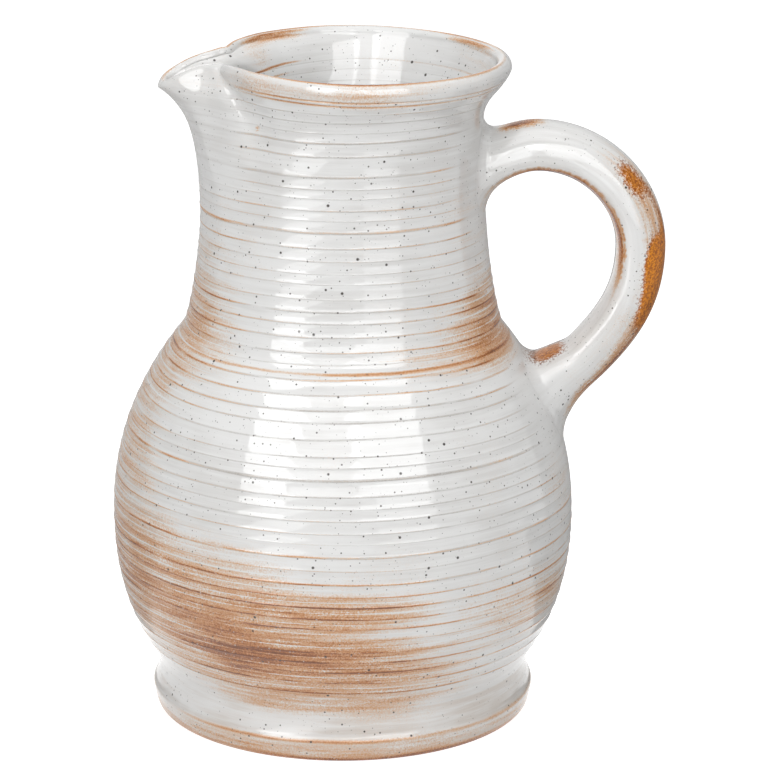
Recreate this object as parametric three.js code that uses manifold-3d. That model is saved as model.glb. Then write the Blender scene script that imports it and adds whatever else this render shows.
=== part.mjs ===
// Stoneware pitcher: a thrown belly, a thrown neck with a pulled pouring lip, a flared foot ring and a pulled
// strap handle, luted together with slip. Millimetres, +Z up. The origin is the middle of the flat base,
// +X points to the handle and -X to the pouring lip.
import * as THREE from 'three';
import { mergeVertices } from 'three/addons/utils/BufferGeometryUtils.js';
import Module from 'manifold-3d';

// Joints: a layer of slip between two pieces, and the hair of room round a piece that is cut to its neighbour
const SLIP = 1;
const CLEARANCE = 0.3;

// Belly
const BASE_RADIUS = 60.3;
const BASE_CHAMFER = 1;
const WAIST_HEIGHT = 19;
const WAIST_RADIUS = 66.2;
const BELLY_HEIGHT = 74;
const BELLY_RADIUS = 83.2;
const SHOULDER_HEIGHT = 143;
const SHOULDER_RADIUS = 56.6;
const BELLY_WALL = 6;
const FLOOR_THICKNESS = 9;
const FLOOR_RADIUS = 38;
const SPIGOT_HEIGHT = 3;
const SPIGOT_WALL = 2.5;
// How far the belly's curve runs on along its tangent at the waist, under and over the widest point,
// and at the shoulder
const WAIST_FULLNESS = new THREE.Vector2(11.4, 17.4);
const LOWER_FULLNESS = 24;
const UPPER_FULLNESS = 28;
const SHOULDER_FULLNESS = new THREE.Vector2(15.4, -18.6);
const FLOOR_FULLNESS = 20;
const INNER_LOWER_FULLNESS = 30;

// Foot ring
const FOOT_BEVEL = 1.6;
const FOOT_TREAD_RADIUS = 67.4;
const FOOT_BEVEL_RADIUS = 68.5;
const ARRIS_RADIUS = 69.7;
const ARRIS_HEIGHT = 7.9;
const COVE_DEPTH = 5;
const FOOT_SLIP_DEPTH = 12;

// Neck
const RIM_HEIGHT = 240;
const NECK_RADIUS = 49.6;
const FLARE_HEIGHT = 22;
const NECK_WALL = 4.8;
const NECK_SPREAD = new THREE.Vector2(-4.3, 14);
const NECK_STRAIGHT = 33;
const RIM_RADIUS = 59.3;
const RIM_CROWN_RADIUS = 56.6;
const RIM_WALL = 4.2;
const RIM_ROLL_HEIGHT = 3.6;
const RIM_EDGE = 1;
const FLARE_START = 8.5;
const FLARE_END = new THREE.Vector2(-2, -6.5);
const RIM_TILT = 0.7;
// The groove turned under the rim's band
const GROOVE_DROP = 7;
const GROOVE_HEIGHT = 2;
const GROOVE_DEPTH = 0.6;

// Pouring lip, seen from above: forward of the axis and to each side of it
const LIP_REACH = 65.6;
const LIP_CORNER = new THREE.Vector2(64.4, 8.4);
const LIP_SIDE = new THREE.Vector2(58.4, 13);
const LIP_ROOT = new THREE.Vector2(49.5, 14.6);
const LIP_PINCH = new THREE.Vector2(43.4, 17.6);
const LIP_SHOULDER = new THREE.Vector2(39.6, 26.6);
// The lip starts lower than the rim and droops towards its nose, which is blunt
const LIP_STEP = 1.3;
const LIP_DROOP = 8.6;
const DROOP_POWER = 1.45;
const LIP_HEIGHT = 62;
const LIP_NOSE = 2.2;
// The lip's pull is a slow swell out of the neck and a quick turn outwards under the rim
const SWELL_SHARE = 0.43;
const SWELL_POWER = 1.35;
const TURN_POWER = 5;
// Angles from the lip, in degrees: where the lip's curve joins the round rim, where the pinch and that join
// start on the neck, where the flare begins to fade, where the rim is round again, and the curve's lead past
// the join
const LIP_JOIN_ANGLE = 51;
const PINCH_ANGLE = 52;
const JOIN_ANGLE = 66;
const FLARE_FADE_ANGLE = 60;
const ROUND_ANGLE = 102;
const LEAD_ANGLE = 11;

// Handle: its top lies below the rim, its upper root and outermost point below its top, and its lower root
// below the shoulder
const HANDLE_THICKNESS = 17.8;
const HANDLE_WIDTH = 24;
const HANDLE_TOP_DROP = 32.4;
const HANDLE_TOP_RADIUS = 69;
const HANDLE_REACH = 106.2;
const HANDLE_REACH_DROP = 36.9;
const ARCH_ROUNDNESS = 0.54;
const UPPER_ROOT_DROP = 7.4;
const UPPER_ROOT_SPAN = 36;
const UPPER_ROOT_WIDTH = 36;
const UPPER_ROOT_LENGTH = 18;
const LOWER_ROOT_DROP = 26.7;
const LOWER_ROOT_SPAN = 38;
const LOWER_ROOT_WIDTH = 36;
const LOWER_ROOT_LENGTH = 16;
const ROOT_SINK = 8;
const ROOT_FLARE_POWER = 3;
// The strap's curves lead out of the neck and into the belly over these shares of each run and rise
const UPPER_LEAD = new THREE.Vector2(0.2, 0.33);
const TOP_LEAD = 0.5;
const OUTER_LEAD = 0.5;
const LOWER_LEAD = new THREE.Vector2(0.5, 0.3);
const SECTION_SOFTNESS = 0.9;
const SLIP_BEAD = 1.4;

// Facets
const TURNS = 60;
const LIP_COLUMNS = 11;
const PINCH_COLUMNS = 5;
const FADE_COLUMNS = 7;
const ROUND_COLUMNS = 10;
const ROLL_STEPS = 3;
const HANDLE_SIDES = 20;
const HANDLE_STATIONS = 34;

const wasm = await Module();
wasm.setup();

const throatHeight = RIM_HEIGHT - FLARE_HEIGHT;
const lipStartHeight = RIM_HEIGHT - LIP_HEIGHT;
const handleTop = RIM_HEIGHT - HANDLE_TOP_DROP;
const upperRootHeight = handleTop - UPPER_ROOT_DROP;
const reachHeight = handleTop - HANDLE_REACH_DROP;
const lowerRootHeight = SHOULDER_HEIGHT - LOWER_ROOT_DROP;

const radians = THREE.MathUtils.degToRad;
const point = (x, y) => new THREE.Vector2(x, y);

// Points along a cubic curve in the profile plane, radius first and height second
function curve(start, startPull, endPull, end, steps) {
  return new THREE.CubicBezierCurve(start, startPull, endPull, end).getPoints(steps);
}

// Leaves only shared positions and drops triangles that have no area
function weld(geometry) {
  geometry.deleteAttribute('normal');
  geometry.deleteAttribute('uv');
  const welded = mergeVertices(geometry);
  const kept = [];
  for (let i = 0; i < welded.index.count; i += 3) {
    const [a, b, c] = [0, 1, 2].map((k) => welded.index.getX(i + k));
    if (a !== b && b !== c && c !== a) kept.push(a, b, c);
  }
  welded.setIndex(kept);
  return welded;
}

// Turns a profile about the vertical axis
function turned(profile) {
  return weld(new THREE.LatheGeometry(profile, TURNS).rotateX(Math.PI / 2));
}

// Joins rings of points into a skin, closed round each ring, and from the last ring to the first or by
// end caps
function lofted(rings, capped) {
  const size = rings[0].length;
  const positions = rings.flat().flatMap((p) => [p.x, p.y, p.z]);
  const index = [];
  const rows = capped ? rings.length - 1 : rings.length;
  for (let i = 0; i < rows; i += 1) {
    const next = (i + 1) % rings.length;
    for (let j = 0; j < size; j += 1) {
      const [a, b] = [i * size + j, i * size + ((j + 1) % size)];
      const [c, d] = [next * size + j, next * size + ((j + 1) % size)];
      index.push(a, b, d, a, d, c);
    }
  }
  const last = (rings.length - 1) * size;
  for (let j = 1; capped && j < size - 1; j += 1) {
    index.push(0, j + 1, j, last, last + j, last + j + 1);
  }
  const geometry = new THREE.BufferGeometry();
  geometry.setAttribute('position', new THREE.Float32BufferAttribute(positions, 3));
  geometry.setIndex(index);
  return geometry;
}

function solid(geometry) {
  return new wasm.Manifold(new wasm.Mesh({
    numProp: 3,
    vertProperties: new Float32Array(geometry.attributes.position.array),
    triVerts: new Uint32Array(geometry.index.array),
  }));
}

function fromSolid(manifold) {
  const mesh = manifold.getMesh();
  const geometry = new THREE.BufferGeometry();
  geometry.setAttribute('position', new THREE.Float32BufferAttribute(mesh.vertProperties, 3));
  geometry.setIndex([...mesh.triVerts]);
  return geometry;
}

// Belly: the outside rises from the waist over the widest point to the shoulder
const bellyOutside = [
  ...curve(
    point(WAIST_RADIUS, WAIST_HEIGHT),
    point(WAIST_RADIUS, WAIST_HEIGHT).add(WAIST_FULLNESS),
    point(BELLY_RADIUS, BELLY_HEIGHT - LOWER_FULLNESS),
    point(BELLY_RADIUS, BELLY_HEIGHT),
    7,
  ),
  ...curve(
    point(BELLY_RADIUS, BELLY_HEIGHT),
    point(BELLY_RADIUS, BELLY_HEIGHT + UPPER_FULLNESS),
    point(SHOULDER_RADIUS, SHOULDER_HEIGHT).add(SHOULDER_FULLNESS),
    point(SHOULDER_RADIUS, SHOULDER_HEIGHT),
    8,
  ).slice(1),
];
const shoulderBore = SHOULDER_RADIUS - NECK_WALL;
const spigotRadius = shoulderBore + SPIGOT_WALL;
const bellyBore = BELLY_RADIUS - BELLY_WALL;

// The belly with its rounded floor, the rebate for the foot ring and the spigot that centres the neck
function bellyProfile() {
  const inside = [
    ...curve(
      point(shoulderBore, SHOULDER_HEIGHT),
      point(shoulderBore, SHOULDER_HEIGHT).add(SHOULDER_FULLNESS),
      point(bellyBore, BELLY_HEIGHT + UPPER_FULLNESS),
      point(bellyBore, BELLY_HEIGHT),
      6,
    ),
    ...curve(
      point(bellyBore, BELLY_HEIGHT),
      point(bellyBore, BELLY_HEIGHT - INNER_LOWER_FULLNESS),
      point(FLOOR_RADIUS + FLOOR_FULLNESS, FLOOR_THICKNESS),
      point(FLOOR_RADIUS, FLOOR_THICKNESS),
      6,
    ).slice(1),
  ];
  return [
    point(0, 0),
    point(BASE_RADIUS - BASE_CHAMFER, 0),
    point(BASE_RADIUS, BASE_CHAMFER),
    point(BASE_RADIUS, WAIST_HEIGHT),
    ...bellyOutside,
    point(spigotRadius, SHOULDER_HEIGHT),
    point(spigotRadius, SHOULDER_HEIGHT + SPIGOT_HEIGHT),
    point(shoulderBore, SHOULDER_HEIGHT + SPIGOT_HEIGHT),
    ...inside,
    point(0, FLOOR_THICKNESS),
  ];
}

// Foot ring: a flat tread, a small bevel, the leaning band up to the arris, and the cove that sweeps up
const footSlipBore = BASE_RADIUS + CLEARANCE;
const footSlipSkirt = footSlipBore + SLIP - CLEARANCE;
const footBore = footSlipSkirt + CLEARANCE;
const footTop = WAIST_HEIGHT - SLIP;

function footProfile() {
  return [
    point(footBore, 0),
    point(FOOT_TREAD_RADIUS, 0),
    point(FOOT_BEVEL_RADIUS, FOOT_BEVEL),
    ...curve(
      point(ARRIS_RADIUS, ARRIS_HEIGHT),
      point(ARRIS_RADIUS - COVE_DEPTH / 2, ARRIS_HEIGHT + COVE_DEPTH / 2),
      point(WAIST_RADIUS, footTop - COVE_DEPTH),
      point(WAIST_RADIUS, footTop),
      6,
    ),
    point(footBore, footTop),
    point(footBore, 0),
  ];
}

// Slip under the waist, with a skirt down between the ring's bore and the belly
function footSlipProfile() {
  const skirtEnd = WAIST_HEIGHT - FOOT_SLIP_DEPTH;
  return [
    point(footSlipBore, skirtEnd),
    point(footSlipSkirt, skirtEnd),
    point(footSlipSkirt, footTop),
    point(WAIST_RADIUS, footTop),
    point(WAIST_RADIUS, WAIST_HEIGHT),
    point(footSlipBore, WAIST_HEIGHT),
    point(footSlipBore, skirtEnd),
  ];
}

// Slip on the shoulder's ledge, round the spigot
const neckFoot = SHOULDER_HEIGHT + SLIP;
const neckRecess = spigotRadius + CLEARANCE;

function shoulderSlipProfile() {
  return [
    point(neckRecess, SHOULDER_HEIGHT),
    point(SHOULDER_RADIUS, SHOULDER_HEIGHT),
    point(SHOULDER_RADIUS, neckFoot),
    point(neckRecess, neckFoot),
    point(neckRecess, SHOULDER_HEIGHT),
  ];
}

// Neck: the outside draws in from the shoulder to the throat, then flares to the rim
const neckOutside = curve(
  point(SHOULDER_RADIUS, neckFoot),
  point(SHOULDER_RADIUS, neckFoot).add(NECK_SPREAD),
  point(NECK_RADIUS, throatHeight - NECK_STRAIGHT),
  point(NECK_RADIUS, throatHeight),
  9,
);
const rimFlare = curve(
  point(NECK_RADIUS, throatHeight),
  point(NECK_RADIUS, throatHeight + FLARE_START),
  point(RIM_RADIUS, RIM_HEIGHT - RIM_ROLL_HEIGHT).add(FLARE_END),
  point(RIM_RADIUS, RIM_HEIGHT - RIM_ROLL_HEIGHT),
  6,
).slice(1);

// The flare with the groove turned into it
function groovedFlare() {
  const middle = RIM_HEIGHT - GROOVE_DROP;
  const [low, high] = [middle - GROOVE_HEIGHT / 2, middle + GROOVE_HEIGHT / 2];
  const cut = (height, depth) => point(radiusAt(rimFlare, height) - depth, height);
  return [
    ...rimFlare.filter((p) => p.y < low),
    cut(low, 0),
    cut(middle, GROOVE_DEPTH),
    cut(high, 0),
    ...rimFlare.filter((p) => p.y > high),
  ];
}

// Each row of the neck holds its height, its radius on the round side, and how deep it lies in the lip's wall
function neckRows() {
  const row = (p) => ({ height: p.y, radius: p.x, depth: 0 });
  const outer = [...neckOutside, ...groovedFlare()].map(row);
  const crown = [];
  for (let i = 1; i <= ROLL_STEPS; i += 1) {
    const turn = (i / ROLL_STEPS) * (Math.PI / 2);
    crown.push({
      height: RIM_HEIGHT - RIM_ROLL_HEIGHT * (1 - Math.sin(turn)),
      radius: RIM_CROWN_RADIUS + (RIM_RADIUS - RIM_CROWN_RADIUS) * Math.cos(turn),
      depth: (RIM_WALL / 2) * (1 - Math.cos(turn)),
    });
  }
  crown.push({
    height: RIM_HEIGHT - RIM_EDGE,
    radius: RIM_CROWN_RADIUS - RIM_EDGE,
    depth: RIM_WALL / 2 + RIM_EDGE,
  });
  const wallAt = (height) => THREE.MathUtils.lerp(
    NECK_WALL, RIM_WALL, THREE.MathUtils.smoothstep(height, throatHeight, RIM_HEIGHT),
  );
  const recessTop = SHOULDER_HEIGHT + SPIGOT_HEIGHT + CLEARANCE;
  const inner = [...neckOutside, ...rimFlare]
    .filter((p) => p.y > recessTop && p.y < RIM_HEIGHT - RIM_ROLL_HEIGHT)
    .map((p) => ({ height: p.y, radius: p.x - wallAt(p.y), depth: wallAt(p.y) }))
    .reverse();
  const seat = [
    { height: recessTop, radius: shoulderBore, depth: NECK_WALL },
    { height: recessTop, radius: neckRecess, depth: SHOULDER_RADIUS - neckRecess },
    { height: neckFoot, radius: neckRecess, depth: SHOULDER_RADIUS - neckRecess },
  ];
  return [...outer, ...crown, ...inner, ...seat];
}

// The neck's radius at a height if its rim had no flare
function plainRadius(height) {
  if (height >= throatHeight) return NECK_RADIUS;
  const above = neckOutside.findIndex((p) => p.y >= height);
  if (above <= 0) return neckOutside[0].x;
  const [low, high] = [neckOutside[above - 1], neckOutside[above]];
  return THREE.MathUtils.mapLinear(height, low.y, high.y, low.x, high.x);
}

// A point on a circle about the axis, at an angle from the lip
const around = (radius, angle) => point(-radius * Math.cos(angle), radius * Math.sin(angle));

// Half of the neck's columns, from the middle of the lip to the handle. Each has its angle on the round neck,
// its place on the rim's outline, and the share of it that belongs to the lip.
function lipColumns() {
  const joinAngle = radians(LIP_JOIN_ANGLE);
  const join = around(NECK_RADIUS, joinAngle);
  const tip = point(LIP_REACH, 0);
  const mirrored = [LIP_SIDE, LIP_CORNER].map((p) => point(-p.x, -p.y));
  const half = [tip, LIP_CORNER, LIP_SIDE, LIP_ROOT, LIP_PINCH, LIP_SHOULDER].map((p) => point(-p.x, p.y));
  const lead = around(NECK_RADIUS, joinAngle + radians(LEAD_ANGLE));
  const outline = new THREE.SplineCurve([...mirrored, ...half, join, lead]);
  const knots = outline.points.length - 1;
  const at = (p) => outline.points.indexOf(p) / knots;
  const [tipAt, pinchAt, joinAt] = [at(half[0]), at(half[4]), at(join)];
  const columns = [];
  const spread = (count, place, angle) => {
    for (let i = 0; i < count; i += 1) {
      columns.push({ rim: place(i / count), angle: angle(i / count) });
    }
  };
  const between = (a, b) => (t) => THREE.MathUtils.lerp(a, b, t);
  const pinch = radians(PINCH_ANGLE);
  const joined = radians(JOIN_ANGLE);
  const round = radians(ROUND_ANGLE);
  const alongLip = between(tipAt, pinchAt);
  const alongShoulder = between(pinchAt, joinAt);
  const alongRim = between(joinAngle, round);
  spread(LIP_COLUMNS, (t) => outline.getPoint(alongLip(t)), between(0, pinch));
  spread(PINCH_COLUMNS, (t) => outline.getPoint(alongShoulder(t)), between(pinch, joined));
  spread(FADE_COLUMNS, (t) => around(NECK_RADIUS, alongRim(t)), between(joined, round));
  spread(ROUND_COLUMNS, (t) => around(NECK_RADIUS, between(round, Math.PI)(t)), between(round, Math.PI));
  columns.push({ rim: around(NECK_RADIUS, Math.PI), angle: Math.PI });
  return columns.map((column) => ({
    ...column,
    share: 1 - THREE.MathUtils.smoothstep(column.angle, radians(FLARE_FADE_ANGLE), round),
  }));
}

// Share of the way from the lip's lowest trace on the neck up to its nose
function lipRise(height) {
  return THREE.MathUtils.clamp((height - lipStartHeight) / (LIP_HEIGHT - LIP_NOSE), 0, 1);
}

// How far the lip is pulled out of the round neck at a height
function pull(height) {
  const rise = lipRise(height);
  return SWELL_SHARE * rise ** SWELL_POWER + (1 - SWELL_SHARE) * rise ** TURN_POWER;
}

// The drop of the lip's edge: a step down at the pinch, and a droop in front of it
function droop({ rim, angle }) {
  const forward = THREE.MathUtils.clamp((-rim.x - LIP_PINCH.x) / (LIP_REACH - LIP_PINCH.x), 0, 1);
  const step = 1 - THREE.MathUtils.smoothstep(Math.abs(angle), radians(PINCH_ANGLE), radians(JOIN_ANGLE));
  return LIP_STEP * step + (Math.abs(rim.y) > LIP_PINCH.y ? 0 : LIP_DROOP * forward ** DROOP_POWER);
}

// Neck with its lip: rings of columns, each moved from the round neck towards the rim's outline
function neckGeometry() {
  const half = lipColumns();
  const mirror = (column) => ({ ...column, rim: point(column.rim.x, -column.rim.y), angle: -column.angle });
  const columns = [...half, ...half.slice(1, -1).map(mirror).reverse()];
  const tilt = Math.tan(radians(RIM_TILT));
  const rings = neckRows().map((row) => {
    const plain = plainRadius(row.height);
    const pulled = pull(row.height);
    const outline = columns.map((column) => {
      const home = around(plain, column.angle);
      const shift = column.rim.clone().sub(around(NECK_RADIUS, column.angle));
      return home.addScaledVector(shift, pulled);
    });
    const rise = lipRise(row.height);
    return columns.map((column, j) => {
      const before = outline[(j + columns.length - 1) % columns.length];
      const after = outline[(j + 1) % columns.length];
      const along = after.clone().sub(before).normalize();
      const outward = point(-along.y, along.x);
      const offset = THREE.MathUtils.lerp(row.radius - plain, -row.depth, column.share * Math.sqrt(rise));
      const place = outline[j].clone().addScaledVector(outward, offset);
      const height = row.height - droop(column) * pulled - tilt * place.x * rise;
      return new THREE.Vector3(place.x, place.y, height);
    });
  });
  return lofted(rings.reverse(), false);
}

// Radius of a turned outside at a height
function radiusAt(outside, height) {
  const above = outside.findIndex((p) => p.y >= height);
  const [low, high] = [outside[above - 1], outside[above]];
  return THREE.MathUtils.mapLinear(height, low.y, high.y, low.x, high.x);
}

// Everything inside a turned outside, let out by a margin, to cut a root to the wall it sits on
function core(outside, margin) {
  const grown = outside.map((p) => point(p.x + margin, p.y));
  const [first, last] = [grown[0], grown[grown.length - 1]];
  return solid(turned([point(0, first.y), ...grown, point(0, last.y)]));
}

// Handle: three curves from inside the neck, over the top, round the outermost point and into the belly
const upperRadius = radiusAt(neckOutside, upperRootHeight);
const lowerRadius = radiusAt(bellyOutside, lowerRootHeight);
const upperSlope = (handleTop - upperRootHeight) / (HANDLE_TOP_RADIUS - upperRadius);
// Lengths of the strap's middle line that lie inside the walls
const upperSink = ROOT_SINK * Math.hypot(1, upperSlope);
const lowerSink = ROOT_SINK * Math.SQRT2;

function handlePath() {
  const at = (x, z) => new THREE.Vector3(x, 0, z);
  const rise = handleTop - upperRootHeight;
  const run = HANDLE_TOP_RADIUS - upperRadius;
  const over = (HANDLE_REACH - HANDLE_TOP_RADIUS) * ARCH_ROUNDNESS;
  const drop = (handleTop - reachHeight) * ARCH_ROUNDNESS;
  const fall = reachHeight - lowerRootHeight;
  const tuck = HANDLE_REACH - lowerRadius;
  const start = at(upperRadius - ROOT_SINK, upperRootHeight - ROOT_SINK * upperSlope);
  const top = at(HANDLE_TOP_RADIUS, handleTop);
  const reach = at(HANDLE_REACH, reachHeight);
  const end = at(lowerRadius - ROOT_SINK, lowerRootHeight - ROOT_SINK);
  const path = new THREE.CurvePath();
  path.add(new THREE.CubicBezierCurve3(
    start,
    at(upperRadius + run * UPPER_LEAD.x, upperRootHeight + rise * UPPER_LEAD.y),
    at(HANDLE_TOP_RADIUS - run * TOP_LEAD, handleTop),
    top,
  ));
  path.add(new THREE.CubicBezierCurve3(
    top,
    at(HANDLE_TOP_RADIUS + over, handleTop),
    at(HANDLE_REACH, reachHeight + drop),
    reach,
  ));
  path.add(new THREE.CubicBezierCurve3(
    reach,
    at(HANDLE_REACH, reachHeight - fall * OUTER_LEAD),
    at(lowerRadius + tuck * LOWER_LEAD.x, lowerRootHeight + fall * LOWER_LEAD.y),
    end,
  ));
  return path;
}

// How near a ring is to the wall of its root, from 1 at the wall to 0 where the strap is even
const nearness = (distance, length) => 1 - THREE.MathUtils.clamp(distance / length, 0, 1);

// The way a wall runs past a root, on the handle's outer side: up the neck, and down the belly
const upNeck = new THREE.Vector3(0, 0, 1);
const belowRoot = lowerRootHeight - LOWER_ROOT_SPAN / 2;
const bellySlope = radiusAt(bellyOutside, belowRoot) - lowerRadius;
const downBelly = new THREE.Vector3(bellySlope, 0, belowRoot - lowerRootHeight).normalize();

// The pulled strap, with rings of a soft oval section that spread towards both roots
function strap(extra) {
  const path = handlePath();
  const length = path.getLength();
  const rings = [];
  for (let i = 0; i <= HANDLE_STATIONS; i += 1) {
    const share = (1 - Math.cos((i / HANDLE_STATIONS) * Math.PI)) / 2;
    const centre = path.getPointAt(share);
    const along = path.getTangentAt(share);
    const upper = nearness(share * length - upperSink, UPPER_ROOT_LENGTH);
    const lower = nearness((1 - share) * length - lowerSink, LOWER_ROOT_LENGTH);
    const outward = new THREE.Vector3(-along.z, 0, along.x);
    outward.lerp(upNeck, upper).lerp(downBelly, lower).normalize();
    const spread = (size, upperSize, lowerSize) => size / 2 + extra
      + ((upperSize - size) / 2) * upper ** ROOT_FLARE_POWER
      + ((lowerSize - size) / 2) * lower ** ROOT_FLARE_POWER;
    const halfThickness = spread(HANDLE_THICKNESS, UPPER_ROOT_SPAN, LOWER_ROOT_SPAN);
    const halfWidth = spread(HANDLE_WIDTH, UPPER_ROOT_WIDTH, LOWER_ROOT_WIDTH);
    const ring = [];
    for (let j = 0; j < HANDLE_SIDES; j += 1) {
      const turn = (j / HANDLE_SIDES) * 2 * Math.PI;
      const soft = (value) => Math.sign(value) * Math.abs(value) ** SECTION_SOFTNESS;
      ring.push(centre.clone()
        .addScaledVector(outward, halfThickness * soft(Math.cos(turn)))
        .add(new THREE.Vector3(0, -halfWidth * soft(Math.sin(turn)), 0)));
    }
    rings.push(ring);
  }
  return solid(lofted(rings, true));
}

const slipInside = CLEARANCE;
const slipOutside = slipInside + SLIP;
const rootInside = slipOutside + CLEARANCE;
const neckCore = [...neckOutside, ...rimFlare];

function handleGeometry() {
  return fromSolid(strap(0).subtract(core(neckCore, rootInside)).subtract(core(bellyOutside, rootInside)));
}

// The slip between a root and its wall, squeezed out in a bead round the root
function rootSlipGeometry(outside) {
  const layer = core(outside, slipOutside).subtract(core(outside, slipInside));
  return fromSolid(strap(SLIP_BEAD).intersect(layer));
}

const glaze = { color: 0xdedcd8, roughness: 0.22, metalness: 0 };
const slipClay = { color: 0xb98f72, roughness: 0.8, metalness: 0 };
const footGlaze = { color: 0xd6bda6, roughness: 0.35, metalness: 0 };
const handleGlaze = { color: 0xdcd6ce, roughness: 0.25, metalness: 0 };

function piece(name, geometry, finish) {
  const mesh = new THREE.Mesh(geometry, new THREE.MeshStandardMaterial(finish));
  mesh.name = name;
  return mesh;
}

const pitcher = new THREE.Group();
pitcher.add(
  piece('belly', turned(bellyProfile()), glaze),
  piece('neck', neckGeometry(), glaze),
  piece('foot_ring', turned(footProfile()), footGlaze),
  piece('handle', handleGeometry(), handleGlaze),
  piece('shoulder_slip', turned(shoulderSlipProfile()), slipClay),
  piece('foot_slip', turned(footSlipProfile()), slipClay),
  piece('upper_handle_slip', rootSlipGeometry(neckCore), slipClay),
  piece('lower_handle_slip', rootSlipGeometry(bellyOutside), slipClay),
);

export default pitcher;
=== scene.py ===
"""Looks of a hand-thrown stoneware pitcher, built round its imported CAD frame.

The thrown belly, neck and foot ring, the pulled handle and the pads of slip under its roots replace their
CAD nodes with fine meshes that carry the throwing rings, the rolled rim and the smoothed roots. The rings of
slip at the shoulder and the foot keep their CAD solids. Sizes are in millimetres, and a mesh is turned to
metres as it is made. +X points to the handle, -X to the pouring lip and -Y to the camera.
"""

import logging
import math
from collections.abc import Sequence
from dataclasses import dataclass
from enum import Enum
from functools import cached_property

import bpy
import numpy as np
from mathutils import Euler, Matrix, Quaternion, Vector


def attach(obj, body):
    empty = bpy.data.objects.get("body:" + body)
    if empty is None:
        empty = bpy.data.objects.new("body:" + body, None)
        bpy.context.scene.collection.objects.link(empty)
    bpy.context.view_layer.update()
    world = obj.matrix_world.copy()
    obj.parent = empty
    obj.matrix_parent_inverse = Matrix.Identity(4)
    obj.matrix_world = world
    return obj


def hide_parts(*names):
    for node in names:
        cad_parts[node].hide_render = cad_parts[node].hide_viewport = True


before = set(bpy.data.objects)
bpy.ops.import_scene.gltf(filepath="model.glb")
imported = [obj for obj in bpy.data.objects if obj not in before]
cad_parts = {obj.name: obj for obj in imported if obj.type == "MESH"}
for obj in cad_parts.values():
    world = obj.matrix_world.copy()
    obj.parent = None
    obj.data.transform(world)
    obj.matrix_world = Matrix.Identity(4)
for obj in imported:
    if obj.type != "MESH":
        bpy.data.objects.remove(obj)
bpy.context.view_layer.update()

# Types that are named often
Array = np.ndarray
Material = bpy.types.Material
Piece = bpy.types.Object
Socket = bpy.types.NodeSocket
Tree = bpy.types.NodeTree

MM = 0.001
BODY = "root"
FLOW = "flow"
SHARP_ANGLE = 42.0
SMOOTH = "SMOOTHSTEP"

# Kinds of node that are added often
MATH = "ShaderNodeMath"
MAP_RANGE = "ShaderNodeMapRange"
MIX = "ShaderNodeMix"
NOISE = "ShaderNodeTexNoise"
VECTOR_MATH = "ShaderNodeVectorMath"

# Sockets of a Mix node for colours, by number because its other kinds share their names
MIX_SHARE = 0
MIX_FROM = 6
MIX_TO = 7
MIX_COLOUR = 2

log = logging.getLogger("pitcher")


class Paint(Enum):
    """What is painted on a mesh, point by point, for its glaze to read."""

    RUST = "rust"
    EDGE = "edge"
    GOLD = "gold"
    THROWN = "thrown"


class LampUse(Enum):
    """What a lamp is there for: to light the pitcher, or to show as a window in its gloss."""

    LIGHT = "light"
    SHEEN = "sheen"


class Ends(Enum):
    """How a skin of rings closes past its first and last ring."""

    WRAPPED = "wrapped"
    CAPPED = "capped"


def linear(colour: str) -> tuple[float, float, float, float]:
    """Turns an sRGB hex colour to linear light.

    Args:
        colour: six hex digits after a hash sign.

    Returns:
        Red, green, blue and an alpha of one.
    """
    shares = [int(colour[i:i + 2], 16) / 255 for i in (1, 3, 5)]
    light = [s / 12.92 if s <= 0.04045 else ((s + 0.055) / 1.055) ** 2.4 for s in shares]
    return (*light, 1.0)


def per_metre(size: float) -> float:
    """How often a pattern of a size in millimetres repeats in a metre."""
    return 1 / (size * MM)


def cleared(owner: Material | bpy.types.World) -> Tree:
    """Turns on the nodes of a material or a world, and empties their tree."""
    owner.use_nodes = True
    owner.node_tree.nodes.clear()
    return owner.node_tree


def add(tree: Tree, kind: str, inputs: dict | Sequence = (), out: int | str = 0,
        **settings: object) -> Socket | None:
    """Adds a node with its settings, values and links.

    Args:
        tree: the shader or geometry tree.
        kind: the node's type.
        inputs: a value or a socket for each input, in order or by name or number.
        out: the output that is handed on.
        **settings: the node's own properties.

    Returns:
        The chosen output socket, or None for a node without outputs.
    """
    node = tree.nodes.new(kind)
    for name, value in settings.items():
        setattr(node, name, value)
    for key, value in inputs.items() if isinstance(inputs, dict) else enumerate(inputs):
        if isinstance(value, Socket):
            tree.links.new(value, node.inputs[key])
        else:
            node.inputs[key].default_value = value
    return node.outputs[out] if len(node.outputs) else None


def smoothstep(value: Array | float, low: float, high: float) -> Array:
    """Rises softly from 0 at low to 1 at high."""
    share = np.clip((np.asarray(value, float) - low) / (high - low), 0, 1)
    return share * share * (3 - 2 * share)


def bezier(points: Sequence[Sequence[float]], count: int) -> Array:
    """Points along a cubic curve.

    Args:
        points: the start, its pull, the end's pull and the end.
        count: how many points.

    Returns:
        One row for each point.
    """
    t = np.linspace(0, 1, count)[:, None]
    start, lead, tail, end = (np.array(p, float) for p in points)
    return (1 - t) ** 3 * start + 3 * (1 - t) ** 2 * t * lead + 3 * (1 - t) * t ** 2 * tail + t ** 3 * end


def through(knots: Sequence[Sequence[float]], marks: Array) -> Array:
    """A smooth line through given points.

    Args:
        knots: the points.
        marks: places along the line, counted in points.

    Returns:
        The line's points at those places.
    """
    points = np.array(knots, float)
    at = np.minimum(np.floor(marks).astype(int), len(points) - 2)
    t = (marks - at)[:, None]
    before, start, end, after = (points[np.clip(at + k, 0, len(points) - 1)] for k in (-1, 0, 1, 2))
    into, out_of = (end - before) / 2, (after - start) / 2
    cubic = 2 * start - 2 * end + into + out_of
    square = 3 * end - 3 * start - 2 * into - out_of
    return cubic * t ** 3 + square * t ** 2 + into * t + start


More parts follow.
